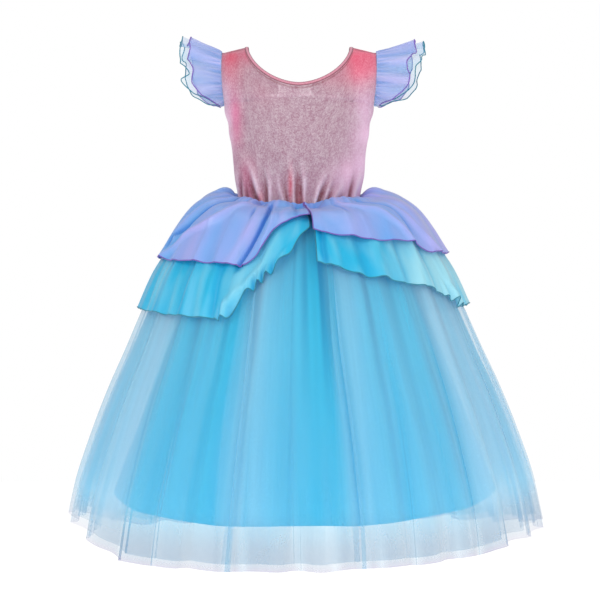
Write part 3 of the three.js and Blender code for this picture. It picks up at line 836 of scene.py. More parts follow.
def panel_relief(side, points, creased, top):
    """The creases with the soft waves, the pulls at the armholes, the side seams and the label."""
    x, y, z = np.moveaxis(points, -1, 0)
    slanting = x * VELVET_WAVES["across"] + z * VELVET_WAVES["down"]
    drape = uneven("velvet", slanting, side) * smooth(VELVET_WAVES["none"], VELVET_WAVES["full"], z)
    pulls = ARMHOLE_PULL["height"] * np.sin((z + ARMHOLE_PULL["phase"]) / ARMHOLE_PULL["spacing"])
    near_side = smooth(*ARMHOLE_PULL["across"], np.abs(x))
    pulls = pulls * near_side * bell(z - ARMHOLE_PULL["at"], ARMHOLE_PULL["half_height"])
    seam = smooth(SIDE_SEAM["reach"], SIDE_SEAM["flat"], np.abs(y)) * (z < SIDE_SEAM["below"])
    relief = creased + drape + pulls - SIDE_SEAM["depth"] * seam
    if side < 0:
        relief = relief + label_relief(x, z, top)
    return relief


def bodice_panel(name, side, drop, creases, rows=130):
    """One velvet panel of the bodice. side is -1 on the shown side and 1 on the hidden one."""
    neck_width = NECK_HALF_WIDTH + BINDING_WIDTH
    angle = bodice_columns(neck_width)[:, None]
    height, top = bodice_heights(angle, neck_width, drop, rows)
    points = bodice_point(side, angle, height)
    x, z = points[..., 0], points[..., 2]
    creased, pocket = crease_relief(creases, x, z)
    relief = panel_relief(side, points, creased, top)
    outward = normals_of(points) * -side
    points = points + outward * relief[..., None]
    points[..., 2] -= seam_drop(-side * cos(angle)) * smooth(*SEAM_DROP_HEIGHTS, z)
    tint, glitter = bodice_tint(side, x, z, creased, pocket, top)
    return cloth_grid(name, points, VELVET, values={"glitter": glitter}, tint=tint)


def label_relief(x, z, top):
    """The edge of the label behind the velvet stands out as a faint ridge."""
    below = bell(z - LABEL["trace"], 1.3) * (x > LABEL["left"]) * (x < LABEL["right"])
    beside = (bell(x - LABEL["left"], 1.2) + bell(x - LABEL["right"], 1.2)) * (z > LABEL["trace"])
    return 0.5 * np.maximum(below, beside) * smooth(2, 8, top - z + 4)


def bodice_tint(side, x, z, relief, pocket, top):
    """The velvet's colours: painted sheen, coral at the shoulders and light at the sides, painted highlight
    on the creases and the label's outline, painted shade in the creases' valleys, the red pockets and below
    the neck band, and how much it glitters.
    """
    tint = np.broadcast_to(BODICE_COLOURS["middle"], (*x.shape, 3))
    across = x * -side
    patchy = 1 + 0.12 * np.sin(x / 7.0 + z / 19) + 0.1 * np.sin(z / 6.0 - x / 23)
    glitter = np.ones_like(x)
    # Patches of painted sheen, each taking away some of the glitter where it lies.
    for at, height, half_width, half_height, *shade, strength in zip(*PAINTED_SHEEN_PATCHES.values()):
        nearness = bell(across - at, half_width) * bell(z - height, half_height)
        share = np.clip(strength * nearness * patchy, 0, 1)
        tint = mix(tint, colour(*shade), share[..., None])
        glitter = glitter * (1 - GLITTER["loss"] * share)
    # Painted highlight on the ridges of the creases.
    crest = np.clip(relief * VELVET_SHOW["crest"], 0, VELVET_SHOW["most_crest"])
    tint = mix(tint, BODICE_COLOURS["crest"], crest[..., None])
    if side < 0:
        # The label's outline, painted as a highlight.
        tint = mix(tint, BODICE_COLOURS["crest"], label_highlight(x, z)[..., None])
        for at, height, half_width, half_height in zip(*RED_POCKETS.values()):
            red = VELVET_SHOW["red"] * bell(x - at, half_width) * bell(z - height, half_height)
            tint = mix(tint, BODICE_COLOURS["red_pocket"], red[..., None])
    # Painted shade just below the neck band.
    shade_under_band = bell(top - z - 2.6, 1.5)
    tint = mix(tint, BODICE_COLOURS["pocket"], VELVET_SHOW["edge"] * shade_under_band[..., None])
    # Painted shade in the creases' valleys.
    shaded = np.clip(VELVET_SHOW["pocket"] * pocket, 0, VELVET_SHOW["most_painted_shade"])
    tint = mix(tint, BODICE_COLOURS["pocket"], shaded[..., None])
    return tint, GLITTER["least"] + GLITTER["more"] * glitter


def label_highlight(x, z):
    """The label's outline as it shows through the velvet, painted as a highlight, with a fainter line beside
    its end.
    """
    end = LABEL["trace"]
    line = 0.22 * bell(z - end - 0.9 * np.sin(x / 9), 1.5) * smooth(62, 40, np.abs(x))
    line = line * (1 + 0.5 * np.sin(x / 6))
    inside = (x > LABEL["left"]) * (x < LABEL["right"]) * (z > end)
    sides = (bell(x - LABEL["left"], 0.9) + bell(x - LABEL["right"], 0.9)) * (z > end)
    return np.clip(line + 0.2 * inside + 0.3 * sides, 0, 0.5)


BINDING_THICKNESS = 2.3
# How far the band's section lies in from the velvet, and a point inside the bodice.
BINDING_SINK = 0.7
BODICE_MIDDLE = np.array([0, 0, -120])
BINDING_SIDES = 16
# The band's thickness ripples by a share, a step at each place along it.
BINDING_RIPPLE = {"share": 0.12, "step": 1.7}
# How dark the painted shade at the band's rims is, and the shares of its width that its upper and lower rims
# take.
RIM = {"dark": 0.95, "upper": 0.2, "lower": 0.24}


def neck_stops(per_quarter=60):
    """Places all round the neck: the face, the share of the neck's half width, and the neck's drop."""
    quarter = sin(np.linspace(0, 90, per_quarter))
    shown = np.concatenate([-quarter[:0:-1], quarter])
    stops = [(-1, share, NECK_DROP) for share in shown]
    stops += [(1, -share, HIDDEN_NECK_DROP) for share in shown[1:-1]]
    return [np.array(column, float) for column in zip(*stops)]


def neck_line(side, share, drop, grown):
    """The edge of the neck with the opening grown by a width. It meets itself at the shoulders."""
    height = neck_height(share, drop + grown)
    angle = bodice_angle(share * (NECK_HALF_WIDTH + grown), height)
    line = bodice_point(side, angle, height)
    line[np.abs(share) == 1, 1] = 0
    return line


def neck_binding():
    """A rolled band round the whole neck. Its own section is a flattened round."""
    side, share, drop = neck_stops()
    upper, lower = (neck_line(side, share, drop, grown) for grown in (0.0, float(BINDING_WIDTH)))
    along = np.roll(upper, -1, axis=0) - np.roll(upper, 1, axis=0)
    across = lower - upper
    out = np.cross(across, along)
    out /= np.linalg.norm(out, axis=1, keepdims=True)
    out *= np.sign((out * (upper - BODICE_MIDDLE)).sum(axis=1, keepdims=True))
    turn = np.arange(BINDING_SIDES) * 2 * np.pi / BINDING_SIDES
    section_across = 0.5 - 0.5 * np.cos(turn)
    section_out = 0.5 * BINDING_THICKNESS * np.sin(turn)
    rippled = np.sin(np.arange(len(share)) * BINDING_RIPPLE["step"])[:, None]
    ripple = 1 + BINDING_RIPPLE["share"] * rippled
    points = upper[:, None] + across[:, None] * section_across[None, :, None]
    points = points + out[:, None] * (section_out[None, :] * ripple - BINDING_SINK)[..., None]
    points = np.concatenate([points, points[:, :1]], axis=1)
    across_band = np.append(section_across, 0.0)
    # Painted shade along both rims of the band.
    rim_shade = RIM["dark"] * bell(across_band, RIM["upper"]) + RIM["dark"] * bell(across_band - 1, RIM["lower"])
    return cloth_grid("neck_binding_band", points, BINDING, values={"rim_shade": rim_shade[None, :]}, ring=True)


bodice_back = bodice_panel("bodice_back_velvet", -1, NECK_DROP, BODICE_CREASES)
bodice_front = bodice_panel("bodice_front_velvet", 1, HIDDEN_NECK_DROP, HIDDEN_CREASES)
place(bodice_back, "bodice_back", (0.25, 0.23), area=0.0435)
place(bodice_front, "bodice_front", (0.25, 0.23), area=0.0425)
place(neck_binding(), "neck_binding", (0.36, 0.02))


LABEL_THICKNESS = 0.6
# How far the label lies inside the bodice's form, and below the neck's edge.
LABEL_INSIDE = 2.1
LABEL_BELOW_EDGE = 2


def neck_label():
    """The blank label inside the neck: a thin strip, slightly wavy at its free end."""
    neck_width = NECK_HALF_WIDTH + BINDING_WIDTH
    across = np.linspace(LABEL["left"], LABEL["right"], 24)[:, None]
    down = np.linspace(0, 1, 14)[None, :]
    top = neck_height(across / neck_width, NECK_DROP + BINDING_WIDTH) - LABEL_BELOW_EDGE
    height = top + (LABEL["bottom"] - top) * down
    outer = bodice_point(-1, bodice_angle(across, height), height) + np.array([0, LABEL_INSIDE, 0])
    outer[..., 1] += 0.25 * np.sin(across / 4.5) * down
    inner = outer + np.array([0, LABEL_THICKNESS, 0])
    points = np.concatenate([outer, inner[:, ::-1], outer[:, :1]], axis=1)
    return cloth_grid("neck_label_satin", points, LABEL_SATIN)


place(neck_label(), "neck_label", (0.041, 0.036))


# Skirt layers

# Folds of the tulle: where the cloth doubles back over itself, how wide a band it covers in
# degrees, and from which run of cloth it opens. A hem value of 1 is a full fold.
SKIRT_FOLDS = table(
    "angle band opens share",
    (-76, 3.6, 120, 0.5), (-63, 4.6, 60, 1.0), (-52, 3.4, 200, 0.4), (-38, 4.6, 200, 0.6),
    (-20, 5.0, 40, 1.0), (-15.5, 3.0, 250, 0.4), (-3, 3.0, 250, 0.5), (5, 3.0, 300, 0.35),
    (10.5, 4.6, 40, 1.0), (15.8, 3.0, 300, 0.35), (25.6, 3.6, 160, 0.55), (36, 3.4, 220, 0.35),
    (44, 4.6, 120, 0.7), (53, 3.4, 250, 0.4), (66, 3.8, 120, 0.6), (80, 3.4, 200, 0.45),
    (101, 3.8, 150, 0.5), (116, 4.4, 80, 1.0), (131, 3.4, 220, 0.4), (146, 4.4, 60, 0.7),
    (158, 3.2, 240, 0.35), (170, 4.6, 50, 1.0), (183, 3.4, 220, 0.4), (197, 4.4, 60, 0.7),
    (209, 3.2, 240, 0.35), (224, 4.6, 90, 1.0), (239, 3.6, 200, 0.5), (256, 4.0, 120, 0.6),
)
FOLD_STAND = 3.4
# A fold opens over a run of cloth, wanders aside on its way down, and doubles back by a share of
# its band.
FOLD_OPENING_RUN = 220
FOLD_WANDER = {"degrees": 1.4, "run": 130}
FOLD_DOUBLING = 0.42


def fold_columns(start, end, step=0.85, fine_step=0.28):
    """Cloth angles between two side seams, closer together where the cloth folds."""
    stops = [start]
    while stops[-1] < end:
        at = stops[-1]
        near = np.abs(SKIRT_FOLDS["angle"] - at) < SKIRT_FOLDS["band"] * 0.8
        stops.append(at + (fine_step if near.any() else step))
    stops[-1] = end
    return np.array(stops)


def fold_cloth(angle, run, reach=1.0, shift=0.0):
    """Places round the skirt for cloth angles, doubled back at each fold, how far in, and its crease."""
    turned, inwards = angle + 0 * run, np.zeros(np.broadcast(angle, run).shape)
    crease = np.zeros_like(inwards)
    for at, band, opens, share in zip(*SKIRT_FOLDS.values()):
        grown = share * reach * smooth(opens, opens + FOLD_OPENING_RUN, run)
        drift = FOLD_WANDER["degrees"] * np.sin(run / FOLD_WANDER["run"] + at) * grown + shift
        off = angle - at - drift
        inside = np.abs(off) < band / 2
        turn = np.where(inside, np.sin(2 * np.pi * off / band), 0)
        turned = turned - FOLD_DOUBLING * band * grown * turn
        step = 1 - smooth(-band / 2, band / 2, off)
        inwards = inwards + FOLD_STAND * grown * step * smooth(-band / 2 - 5, -band / 2, off)
        crease = np.maximum(crease, grown * inside * np.abs(np.cos(np.pi * off / band)))
    return turned, inwards, crease


# How much of the pale tulle lies over the blue at each angle: it is denser where more of its
# gathers hang together.
PALE_GATHERS = table(
    "angle from_left dense half_width",
    (-82, 0, 0.16, 8), (-57, 1, 0.17, 7), (-24, 1, -0.12, 5), (-16, 1, 0.18, 7), (5, 0, -0.2, 5),
    (14, 1, 0.17, 6), (30, 0, 0.06, 7), (50, 0, 0.2, 9), (72, 0, 0.16, 10), (108, 1, 0.14, 8),
    (128, 1, -0.1, 6), (150, 1, 0.16, 7), (172, 0, -0.12, 6), (186, 1, 0.15, 8), (214, 0, 0.12, 8),
    (232, 1, -0.1, 6), (250, 0, 0.16, 8),
)
SHARP_EDGE = 0.9
# Threefold cloth at a fold is drawn thinner, so that the fold reads as a soft streak.
FOLD_THINNING = 0.68


def pale_density(angle, run):
    """The change in the pale tulle's cover, with sharp left edges where a gather starts there."""
    change = np.zeros(np.broadcast(angle, run).shape)
    for at, from_left, dense, half_width in zip(*PALE_GATHERS.values()):
        off = (angle - at + 180) % 360 - 180 - 1.2 * np.sin(run / 140 + at)
        soft = bell(off, half_width)
        sharp = smooth(-half_width * 0.75 - SHARP_EDGE, -half_width * 0.75, off) * bell(off, half_width * 1.1)
        change = change + dense * np.where(from_left > 0, sharp, soft)
    return change


COVER = table(
    "run under over",
    (0, 0.97, 0.3), (60, 0.92, 0.3), (120, 0.84, 0.3), (250, 0.64, 0.32), (400, 0.42, 0.33),
    (521, 0.34, 0.44),
)
under_cover = rule(COVER, "run", "under")
over_cover = rule(COVER, "run", "over")
COVER_LIMITS = (0.05, 0.98)
# The tulle's colours; the dark pleat colour and the darker hem colours are painted shade.
TULLE_COLOURS = {
    "pleat_shade": colour(2, 118, 176),
    "under_waist": colour(22, 180, 224),
    "under": colour(54, 212, 248),
    "under_hem_shade": colour(98, 164, 200),
    "over": colour(108, 218, 250),
    "over_hem_shade": colour(124, 162, 192),
    "haze": colour(182, 226, 248),
    "hem_band": colour(168, 164, 196),
    "streak": colour(138, 216, 246),
}
# Runs of cloth over which the tulle takes on its paler hem, with its threads in painted shade, and the band
# along its edge.
HEM_RUNS = (440, 500)
BAND_RUNS = (505, 511)
# Painted shade in the gathers below the peplum's split: where it lies, how wide, and how strong.
SHADE_BELOW_SPLIT = {"angle": 9, "half_width": 6, "strength": 0.4}
# Shares of the tulle's length over which its soft waves and its livelier hem grow.
FLOW_GROWS = (0.15, 0.9)
HEM_GROWS = (0.62, 1)


def tulle_sheet(name, start, end, layer, length, material, reach, shift, look, rows=76):
    """Half of a tulle layer, between two side seams, with its folds, waves and colours."""
    cloth = fold_columns(start, end)[:, None]
    share = np.linspace(0, 1, rows)[None, :]
    full_run = length * (0.25 * share**2 + 0.75 * share)
    run = full_run - hem_rise(cloth) * (full_run / length) ** 3
    angle, inwards, crease = fold_cloth(cloth, run, reach, shift)
    edge_hold = smooth(0, 3, np.minimum(cloth - start, end - cloth))
    angle = mix(cloth + 0 * run, angle, edge_hold)
    inwards = inwards * edge_hold
    hem = smooth(*HEM_GROWS, run / length)
    flow = uneven("tulle_flow", cloth) * smooth(*FLOW_GROWS, run / length)
    fine = uneven("tulle_fine", cloth + 2 * np.sin(run / 90)) * (0.3 + 0.7 * hem)
    stand = layer_stand(LAYERS[layer], angle, run) - inwards + (flow + fine) * edge_hold
    points = on_skirt(skirt_profile, angle, run, stand)
    points[..., 2] += uneven("tulle_hem", cloth) * hem * edge_hold
    opacity, tint = look(cloth, run, crease)
    values = {"opacity": np.clip(opacity, *COVER_LIMITS)}
    return cloth_grid(name, points, material, values=values, tint=tint)


def tinted(tint, name, share):
    """A colour of the tulle, blended with another by a share at each point."""
    return mix(tint, TULLE_COLOURS[name], share[..., None])


def flanks(cloth):
    """The sides of the skirt as both faces show them."""
    return smooth(0.66, 0.95, np.abs(sin(cloth)))


def blue_look(cloth, run, crease):
    """Cover and colour of the blue tulle: deepest at the waist, with painted shade in its pleats there, and
    palest at the hem and the sides, though its threads at the hem take a painted shade.
    """
    opacity = under_cover(run) + uneven("tulle_cover", cloth) * smooth(0, 200, run)
    side = smooth(0.6, 0.92, np.abs(sin(cloth)))
    opacity = opacity + 0.1 * side * smooth(150, 380, run) * (1 - smooth(455, 490, run))
    # Painted shade in the pleats near the waist and in the gathers below the peplum's split.
    below_split = bell(cloth - SHADE_BELOW_SPLIT["angle"], SHADE_BELOW_SPLIT["half_width"])
    pleats = uneven("tulle_pleat_shade", cloth) + SHADE_BELOW_SPLIT["strength"] * below_split
    tint = tinted(TULLE_COLOURS["under_waist"], "under", smooth(60, 260, run))
    tint = tinted(tint, "pleat_shade", np.clip(pleats, 0, 0.85) * (1 - smooth(120, 360, run)))
    tint = tinted(tint, "haze", 0.3 * flanks(cloth) * smooth(100, 250, run))
    # The threads at the hem are painted darker and greyer, as painted shade.
    tint = tinted(tint, "under_hem_shade", smooth(*HEM_RUNS, run))
    tint = tinted(tint, "streak", crease)
    return opacity * (1 - FOLD_THINNING * crease) * side_hem(cloth, run), tint


def pale_look(cloth, run, crease):
    """Cover and colour of the pale tulle: hazy where its gathers lie close, with a banded hem whose threads
    are painted in shade.
    """
    dense = pale_density(cloth, run) * smooth(20, 160, run)
    hem = smooth(*HEM_RUNS, run)
    band = smooth(*BAND_RUNS, run + hem_rise(cloth))
    haze = np.clip(0.28 + 2.6 * dense + 0.6 * flanks(cloth), 0, 1)
    opacity = over_cover(run) + dense * (1 - 0.6 * hem) + 0.08 * band
    tint = tinted(TULLE_COLOURS["over"], "haze", haze)
    # The threads at the hem are painted greyer, as painted shade.
    tint = tinted(tint, "over_hem_shade", hem)
    tint = tinted(tint, "hem_band", band)
    tint = tinted(tint, "streak", crease)
    return opacity * (1 - FOLD_THINNING * crease) * side_hem(cloth, run), tint


def side_hem(cloth, run):
    """The hem is clearer at the sides, where the cloth is seen edge on and lies deeper."""
    return 1 - 0.5 * smooth(0.72, 0.97, np.abs(sin(cloth))) * smooth(430, 490, run)


def lining_sheet(name, start, end, columns=200, rows=64):
    """Half of the satin lining, with its flutes."""
    angle = np.linspace(start, end, columns)[:, None]
    run = LINING_LENGTH * np.linspace(0, 1, rows)[None, :]
    share = run / LINING_LENGTH
    stand = LINING_FLUTE_DEPTH * share * cos(LINING_FLUTES * angle + LINING_FLUTE_PHASE)
    edge_hold = smooth(0, 6, np.minimum(angle - start, end - angle))
    stand = stand + uneven("lining", angle) * share * edge_hold
    points = on_skirt(lining_profile, angle, run, stand)
    points[..., 2] -= LINING_DROP * share**3
    return cloth_grid(name, points, LINING)


# Each tulle layer: its name, how much shorter it is than the outer one, its material, the reach
# and shift of its folds, its look, and its cut.
TULLE_LAYERS = (
    ("tulle_under", UNDER_TULLE_SHORTER, BLUE_TULLE, 1.0, 0.0, blue_look, (1.35, 0.52), 0.46),
    ("tulle_over", 0, PALE_TULLE, 0.9, 1.6, pale_look, (1.4, 0.53), 0.48),
)

for word, start, end in (("back", -90, 90), ("front", 90, 270)):
    lining = lining_sheet(f"lining_{word}_satin", start, end)
    place(lining, f"lining_{word}", (0.79, 0.42), area=0.25)
    for layer, shorter, material, reach, shift, look, flat, area in TULLE_LAYERS:
        length = SKIRT_LENGTH - shorter
        net = tulle_sheet(f"{layer}_{word}_net", start, end, layer, length, material, reach, shift, look)
        place(net, f"{layer}_{word}", flat, area=area)


# Peplum

# Main folds of the shown side: how far each stands out, its half width, and the places that it
# runs through, as run of cloth and angle. A valley stands in.
PEPLUM_FOLDS = {
    "lilac_left": (
        (3.6, 5, ((30, -34.5), (52, -39.2), (72, -42.8), (88, -49.2), (101, -58), (140, -71))),
        (-2.8, 4, ((18, -50), (40, -53), (62, -57), (84, -63), (110, -72))),
        (2.6, 5, ((20, -57), (59, -64), (103, -71))),
        (-5.0, 2.6, ((26, -19.5), (45, -18.5), (62, -18.2), (79, -19.2), (94, -20.5), (136, -25.3))),
        (2.2, 3, ((60, -14.5), (80, -15.2), (104, -17.5))),
        (1.6, 5, ((36, -24.5), (70, -24.5), (100, -27), (136, -30))),
        (-1.8, 2, ((42, -27.5), (56, -27))),
        (1.6, 4, ((30, -8), (66, -10))),
        (-1.6, 3, ((26, -3), (62, -3))),
    ),
    "lilac_right": (
        (3.2, 5, ((28, 25), (41, 31), (57, 38.2), (76, 43.8), (94, 48.8), (113, 50.8))),
        (-1.7, 4, ((20, 40), (41, 45.8), (67, 53.5), (90, 56))),
        (2.0, 5, ((40, 54), (86, 61), (109, 63.5), (135, 70))),
        (1.8, 10, ((50, 12), (80, 20))),
        (-1.8, 2.5, ((30, 22), (50, 23))),
    ),
    "aqua_left": (
        (2.2, 6, ((120, -41), (200, -38))),
        (-2.0, 5, ((120, -34), (205, -32))),
        (2.0, 6, ((120, -54), (205, -52))),
        (-2.0, 5, ((120, -48), (205, -46))),
        (-1.8, 5, ((120, -62), (205, -60))),
        (2.0, 6, ((120, -70), (205, -67))),
        (2.6, 5, ((90, -11), (140, -17), (190, -28))),
        (-5.5, 6, ((30, -20), (81, -19.5), (109, -23), (132, -26))),
    ),
    "aqua_right": (
        (-3.2, 4, ((60, 9), (112, 8.5), (128, 9))),
        (2.4, 5, ((104, 13), (137, 14))),
        (-1.6, 7, ((90, 24), (150, 25))),
        (1.8, 8, ((90, 33), (158, 31))),
        (-2.0, 5, ((100, 44), (168, 41))),
        (2.4, 6, ((100, 52), (175, 48))),
        (-2.0, 5, ((100, 60), (188, 56))),
        (2.2, 5, ((120, 68), (205, 65))),
    ),
}
# Where the gathered cloth is drawn down into the waist seam; between these it puffs up.
WAIST_TUCKS = table(
    "angle half_width",
    (-66, 5), (-29, 6), (-1, 5), (12, 6), (66, 5), (76, 5), (112, 6), (134, 5), (158, 6), (180, 5),
    (203, 6), (228, 5), (252, 6), (284, 5),
)
# The puffs and the tucks: the run of cloth where they lie, their reach and size, and how squarely
# the cloth faces the front or the back where they grow, from 0 at the sides to 1.
WAIST_PUFF = {"run": 14, "reach": 11, "middle": 6.0, "sides": 1.5, "rise": 0.4, "facing": (0.35, 0.95)}
WAIST_TUCK = {"run": 16, "reach": 10, "drop": 3.5, "starts": (3, 12), "facing": (0.5, 0.9)}
LINE_HALF_WIDTH = 2.1
# A fold deeper than this is drawn with a line of shade along its bottom.
LINE_DEPTH = -2.2
FOLD_STRENGTH = {"lilac": 1.3, "aqua": 1.15}
# How lively the hems and the long folds are on the shown side, against 1 on the hidden one.
SHOWN_FLUTTER = {"lilac": 0.2, "aqua": 0.45}
HIDDEN_FOLDS = 4
# Each layer's own seed for its lively hem.
KIND_SEEDS = {"aqua": 4, "lilac": 5}
# The parts of the aqua layer's hem that curl most, as angles: next to its split and at its right end.
CURL = {"aqua_left": (-30, -6), "aqua_right": (62, 74)}
CURL_HEIGHT = 3.6
CURL_RISE = 0.9
FOLD_SHADE = {"lilac": np.array([0.3, 0.5, 0.78]), "aqua": np.array([0.35, 0.72, 0.86])}
MOST_SHADE = 0.85
EDGE_RADIUS = 0.7


def fold_relief(folds, angle, run):
    """How far the main folds stand out, soft across and at their ends, and the lines of painted shade along
    the deep ones.
    """
    radius = np.radians(rule(SKIRT_RUNS, "run", "half_width")(run))
    relief, line = np.zeros_like(run), np.zeros_like(run)
    for height, half_width, route in folds:
        at_run, at_angle = np.array(route, float).T
        centre_of = rule({"run": at_run, "angle": at_angle}, "run", "angle")
        slope = (centre_of(run + 1) - centre_of(run - 1)) / 2 * radius
        off = (angle - centre_of(run)) * radius / np.sqrt(1 + slope**2)
        fade = smooth(at_run[0] - 12, at_run[0] + 10, run)
        fade = fade * (1 - smooth(at_run[-1], at_run[-1] + 22, run))
        relief = relief + height * fade * bell(off, half_width)
        line = np.maximum(line, fade * (height < LINE_DEPTH) * bell(off, LINE_HALF_WIDTH))
    return relief, line


def waist_puff(angle, run):
    """How far the cloth puffs out next to the waist seam, and how far its tucks are drawn in."""
    tucks = 0
    for at, half_width in zip(*WAIST_TUCKS.values()):
        off = (angle % 360 - at + 180) % 360 - 180
        tucks = tucks + bell(off, half_width)
    facing = np.abs(cos(angle))
    height = mix(WAIST_PUFF["sides"], WAIST_PUFF["middle"], smooth(*WAIST_PUFF["facing"], facing))
    lift = height * np.clip(1 - tucks, 0, 1) * (1 + uneven("waist_puff", angle))
    tuck = np.clip(tucks, 0, 1) * bell(run - WAIST_TUCK["run"], WAIST_TUCK["reach"])
    tuck = tuck * smooth(*WAIST_TUCK["starts"], run) * smooth(*WAIST_TUCK["facing"], facing)
    return lift * bell(run - WAIST_PUFF["run"], WAIST_PUFF["reach"]), tuck


def hidden_share(angle):
    """0 on the shown side and 1 on the hidden one, changing softly at the sides."""
    return smooth(75, 100, np.abs(angle))


def liveliness(kind, angle):
    return mix(SHOWN_FLUTTER[kind], 1, hidden_share(angle))


def hem_curl(piece, angle, run, share):
    """The tight curls of the aqua layer's hem."""
    if piece not in CURL:
        return np.zeros_like(run)
    low, high = CURL[piece]
    window = smooth(low - 3, low + 3, angle) * (1 - smooth(high - 3, high + 3, angle))
    return CURL_HEIGHT * np.sin(angle * 1.35 + 2.4 * np.sin(angle * 0.4)) * window * smooth(0.84, 1, share)


def peplum_folds(kind, piece, angle, run, share):
    """Gathers at the waist, the main folds, long soft ones on the hidden side, and a lively hem."""
    gathers = uneven(f"{kind}_gathers", angle + 3 * np.sin(run / 60)) * bell(run - 10, 24)
    folds, line = fold_relief(PEPLUM_FOLDS[piece], angle, run)
    folds = folds * FOLD_STRENGTH[kind]
    lively = liveliness(kind, angle)
    long_folds = mix(lively, HIDDEN_FOLDS, hidden_share(angle)) * uneven("peplum_folds", angle)
    long_folds = long_folds * smooth(15, 90, run)
    flutter = lively * uneven("peplum_flutter", angle, KIND_SEEDS[kind]) * smooth(0.75, 1, share)
    return folds + long_folds + gathers + flutter, line


def peplum_drape(kind, angle, run, fold_depth):
    """The soft drapes of the solid, and the deep fold of the left upper layer."""
    drape = DRAPES[kind]
    swell = 0.5 + 0.5 * np.cos(np.radians(angle) * drape["per_turn"] + drape["phase"])
    crease = bell(angle - DEEP_FOLD["angle"], DEEP_FOLD["half_width"])
    return (drape["height"] * swell * (1 - crease) - fold_depth * crease) * smooth(10, 70, run)


def peplum_crest(kind, seed, angle, run, folds):
    """How much of the organza's second, lighter colour shows: on the folds' crests as painted highlight, in
    patches, and towards the right side.
    """
    crest = 0.4 + 0.09 * folds + uneven("peplum_tint", angle + run / 9, seed)
    before_side = 1 - smooth(95, 130, angle)
    if kind == "lilac":
        # Painted light: the lilac is lighter towards its right side.
        crest = crest + 0.3 * smooth(30, 62, angle) * before_side
    else:
        crest = 0.6 * crest - 0.15 + 0.85 * smooth(28, 60, angle) * before_side
    return np.clip(crest, 0, 1)


def peplum_sheet(name, kind, word, hem, fold_depth, material, seed, rows=72, step=0.5):
    """One side of a peplum layer, from the waist to its hem, with the place of each of its points."""
    piece = f"{kind}_{word}"
    split, centre = hem["angle"][0], hem["angle"][-1]
    count = int(abs(centre - split) / step)
    angle = np.linspace(min(split, centre), max(split, centre), count)[:, None]
    share = np.linspace(0, 1, rows)[None, :]
    run = rule(hem, "angle", "run")(angle) * share
    folds, line = peplum_folds(kind, piece, angle, run, share)
    curl = hem_curl(piece, angle, run, share)
    folds = folds + curl
    puff, tuck = waist_puff(angle, run)
    stand = layer_stand(LAYERS[kind], angle, run) + peplum_drape(kind, angle, run, fold_depth) + folds
    rise = CURL_RISE * curl
    rise = rise + liveliness(kind, angle) * uneven("peplum_hem", angle, seed) * smooth(0.7, 1, share)
    if kind == "lilac":
        stand = stand + puff
        rise = rise + WAIST_PUFF["rise"] * puff - WAIST_TUCK["drop"] * tuck
    points = on_skirt(skirt_profile, angle, run, stand)
    points[..., 2] += rise
    # Painted shade: darker in the folds' valleys, next to the waist seam, in the tucks and along the deep
    # folds' lines.
    shade = -0.2 * (folds - 0.6) + 0.25 * bell(run, 12) + 0.6 * tuck + 0.8 * line
    tint = mix(WHITE, FOLD_SHADE[kind], np.clip(shade, 0, MOST_SHADE)[..., None])
    values = {"crest": peplum_crest(kind, seed, angle, run, folds), "opacity": np.ones_like(run)}
    return cloth_grid(name, points, material, values=values, tint=tint), points


def round_edge(points, split_first):
    """The route of a peplum's rolled edge: along the hem, and up the split."""
    hem = points[:, -1]
    if split_first:
        return np.concatenate([points[0, :-1], hem])
    return np.concatenate([hem, points[-1, -2::-1]])


# Each piece: its layer and side, its hem, the depth of its deep fold, its materials, the seed of
# its own waves, and its cut.
PEPLUM_PIECES = (
    ("aqua", "left", AQUA_LEFT_HEM, 0, AQUA, AQUA_EDGE, 24, (0.72, 0.215), 0.12),
    ("aqua", "right", AQUA_RIGHT_HEM, 0, AQUA, AQUA_EDGE, 25, (0.7, 0.215), 0.11),
    ("lilac", "left", LILAC_LEFT_HEM, DEEP_FOLD["depth"], LILAC, LILAC_EDGE, 25, (0.6, 0.145), 0.073),
    ("lilac", "right", LILAC_RIGHT_HEM, 0, LILAC, LILAC_EDGE, 26, (0.6, 0.145), 0.069),
)

for kind, word, hem, fold_depth, material, edge_material, seed, flat, area in PEPLUM_PIECES:
    name = f"peplum_{kind}_{word}"
    sheet, points = peplum_sheet(f"{name}_organza", kind, word, hem, fold_depth, material, seed)
    route = round_edge(points, split_first=word == "right")
    edge = tube(f"{name}_edge", route, EDGE_RADIUS, edge_material)
    place(sheet, name, flat, edges=[edge], area=area)


# Sleeve ruffles

# How much longer or shorter each ruffle is than its solid. Positive angles lie to the shown side.
RUFFLE_TRIM = {
    "lilac_left": table("angle share", (0, 0.94), (30, 1.0), (62, 1.0), (84, 0.9), (96, 0.97), (130, 1.0)),
    "aqua_left": table("angle share", (0, 0.95), (30, 1.0), (70, 1.0), (88, 0.84), (98, 1.04), (130, 1.0)),
    "lilac_right": table("angle share", (0, 0.98), (30, 1.0), (60, 0.92), (70, 0.78), (92, 0.9), (130, 1.0)),
    "aqua_right": table("angle share", (0, 1.0), (40, 0.99), (66, 0.97), (74, 0.82), (95, 0.86), (130, 1.0)),
}
SLEEVE_OPACITY = {"lilac": 0.74, "aqua": 0.3}
# How much of it is left at the lower end of the shown side, where light comes through.
LOWER_OPACITY = 0.72
SLEEVE_SHADE = {"lilac": np.array([0.5, 0.72, 0.92]), "aqua": np.array([0.6, 0.85, 0.95])}
# The cut of a ruffle: its length round the armhole in metres, and the share left by its tapered ends.
RUFFLE_CUT = 0.3
RUFFLE_TAPER = 0.8


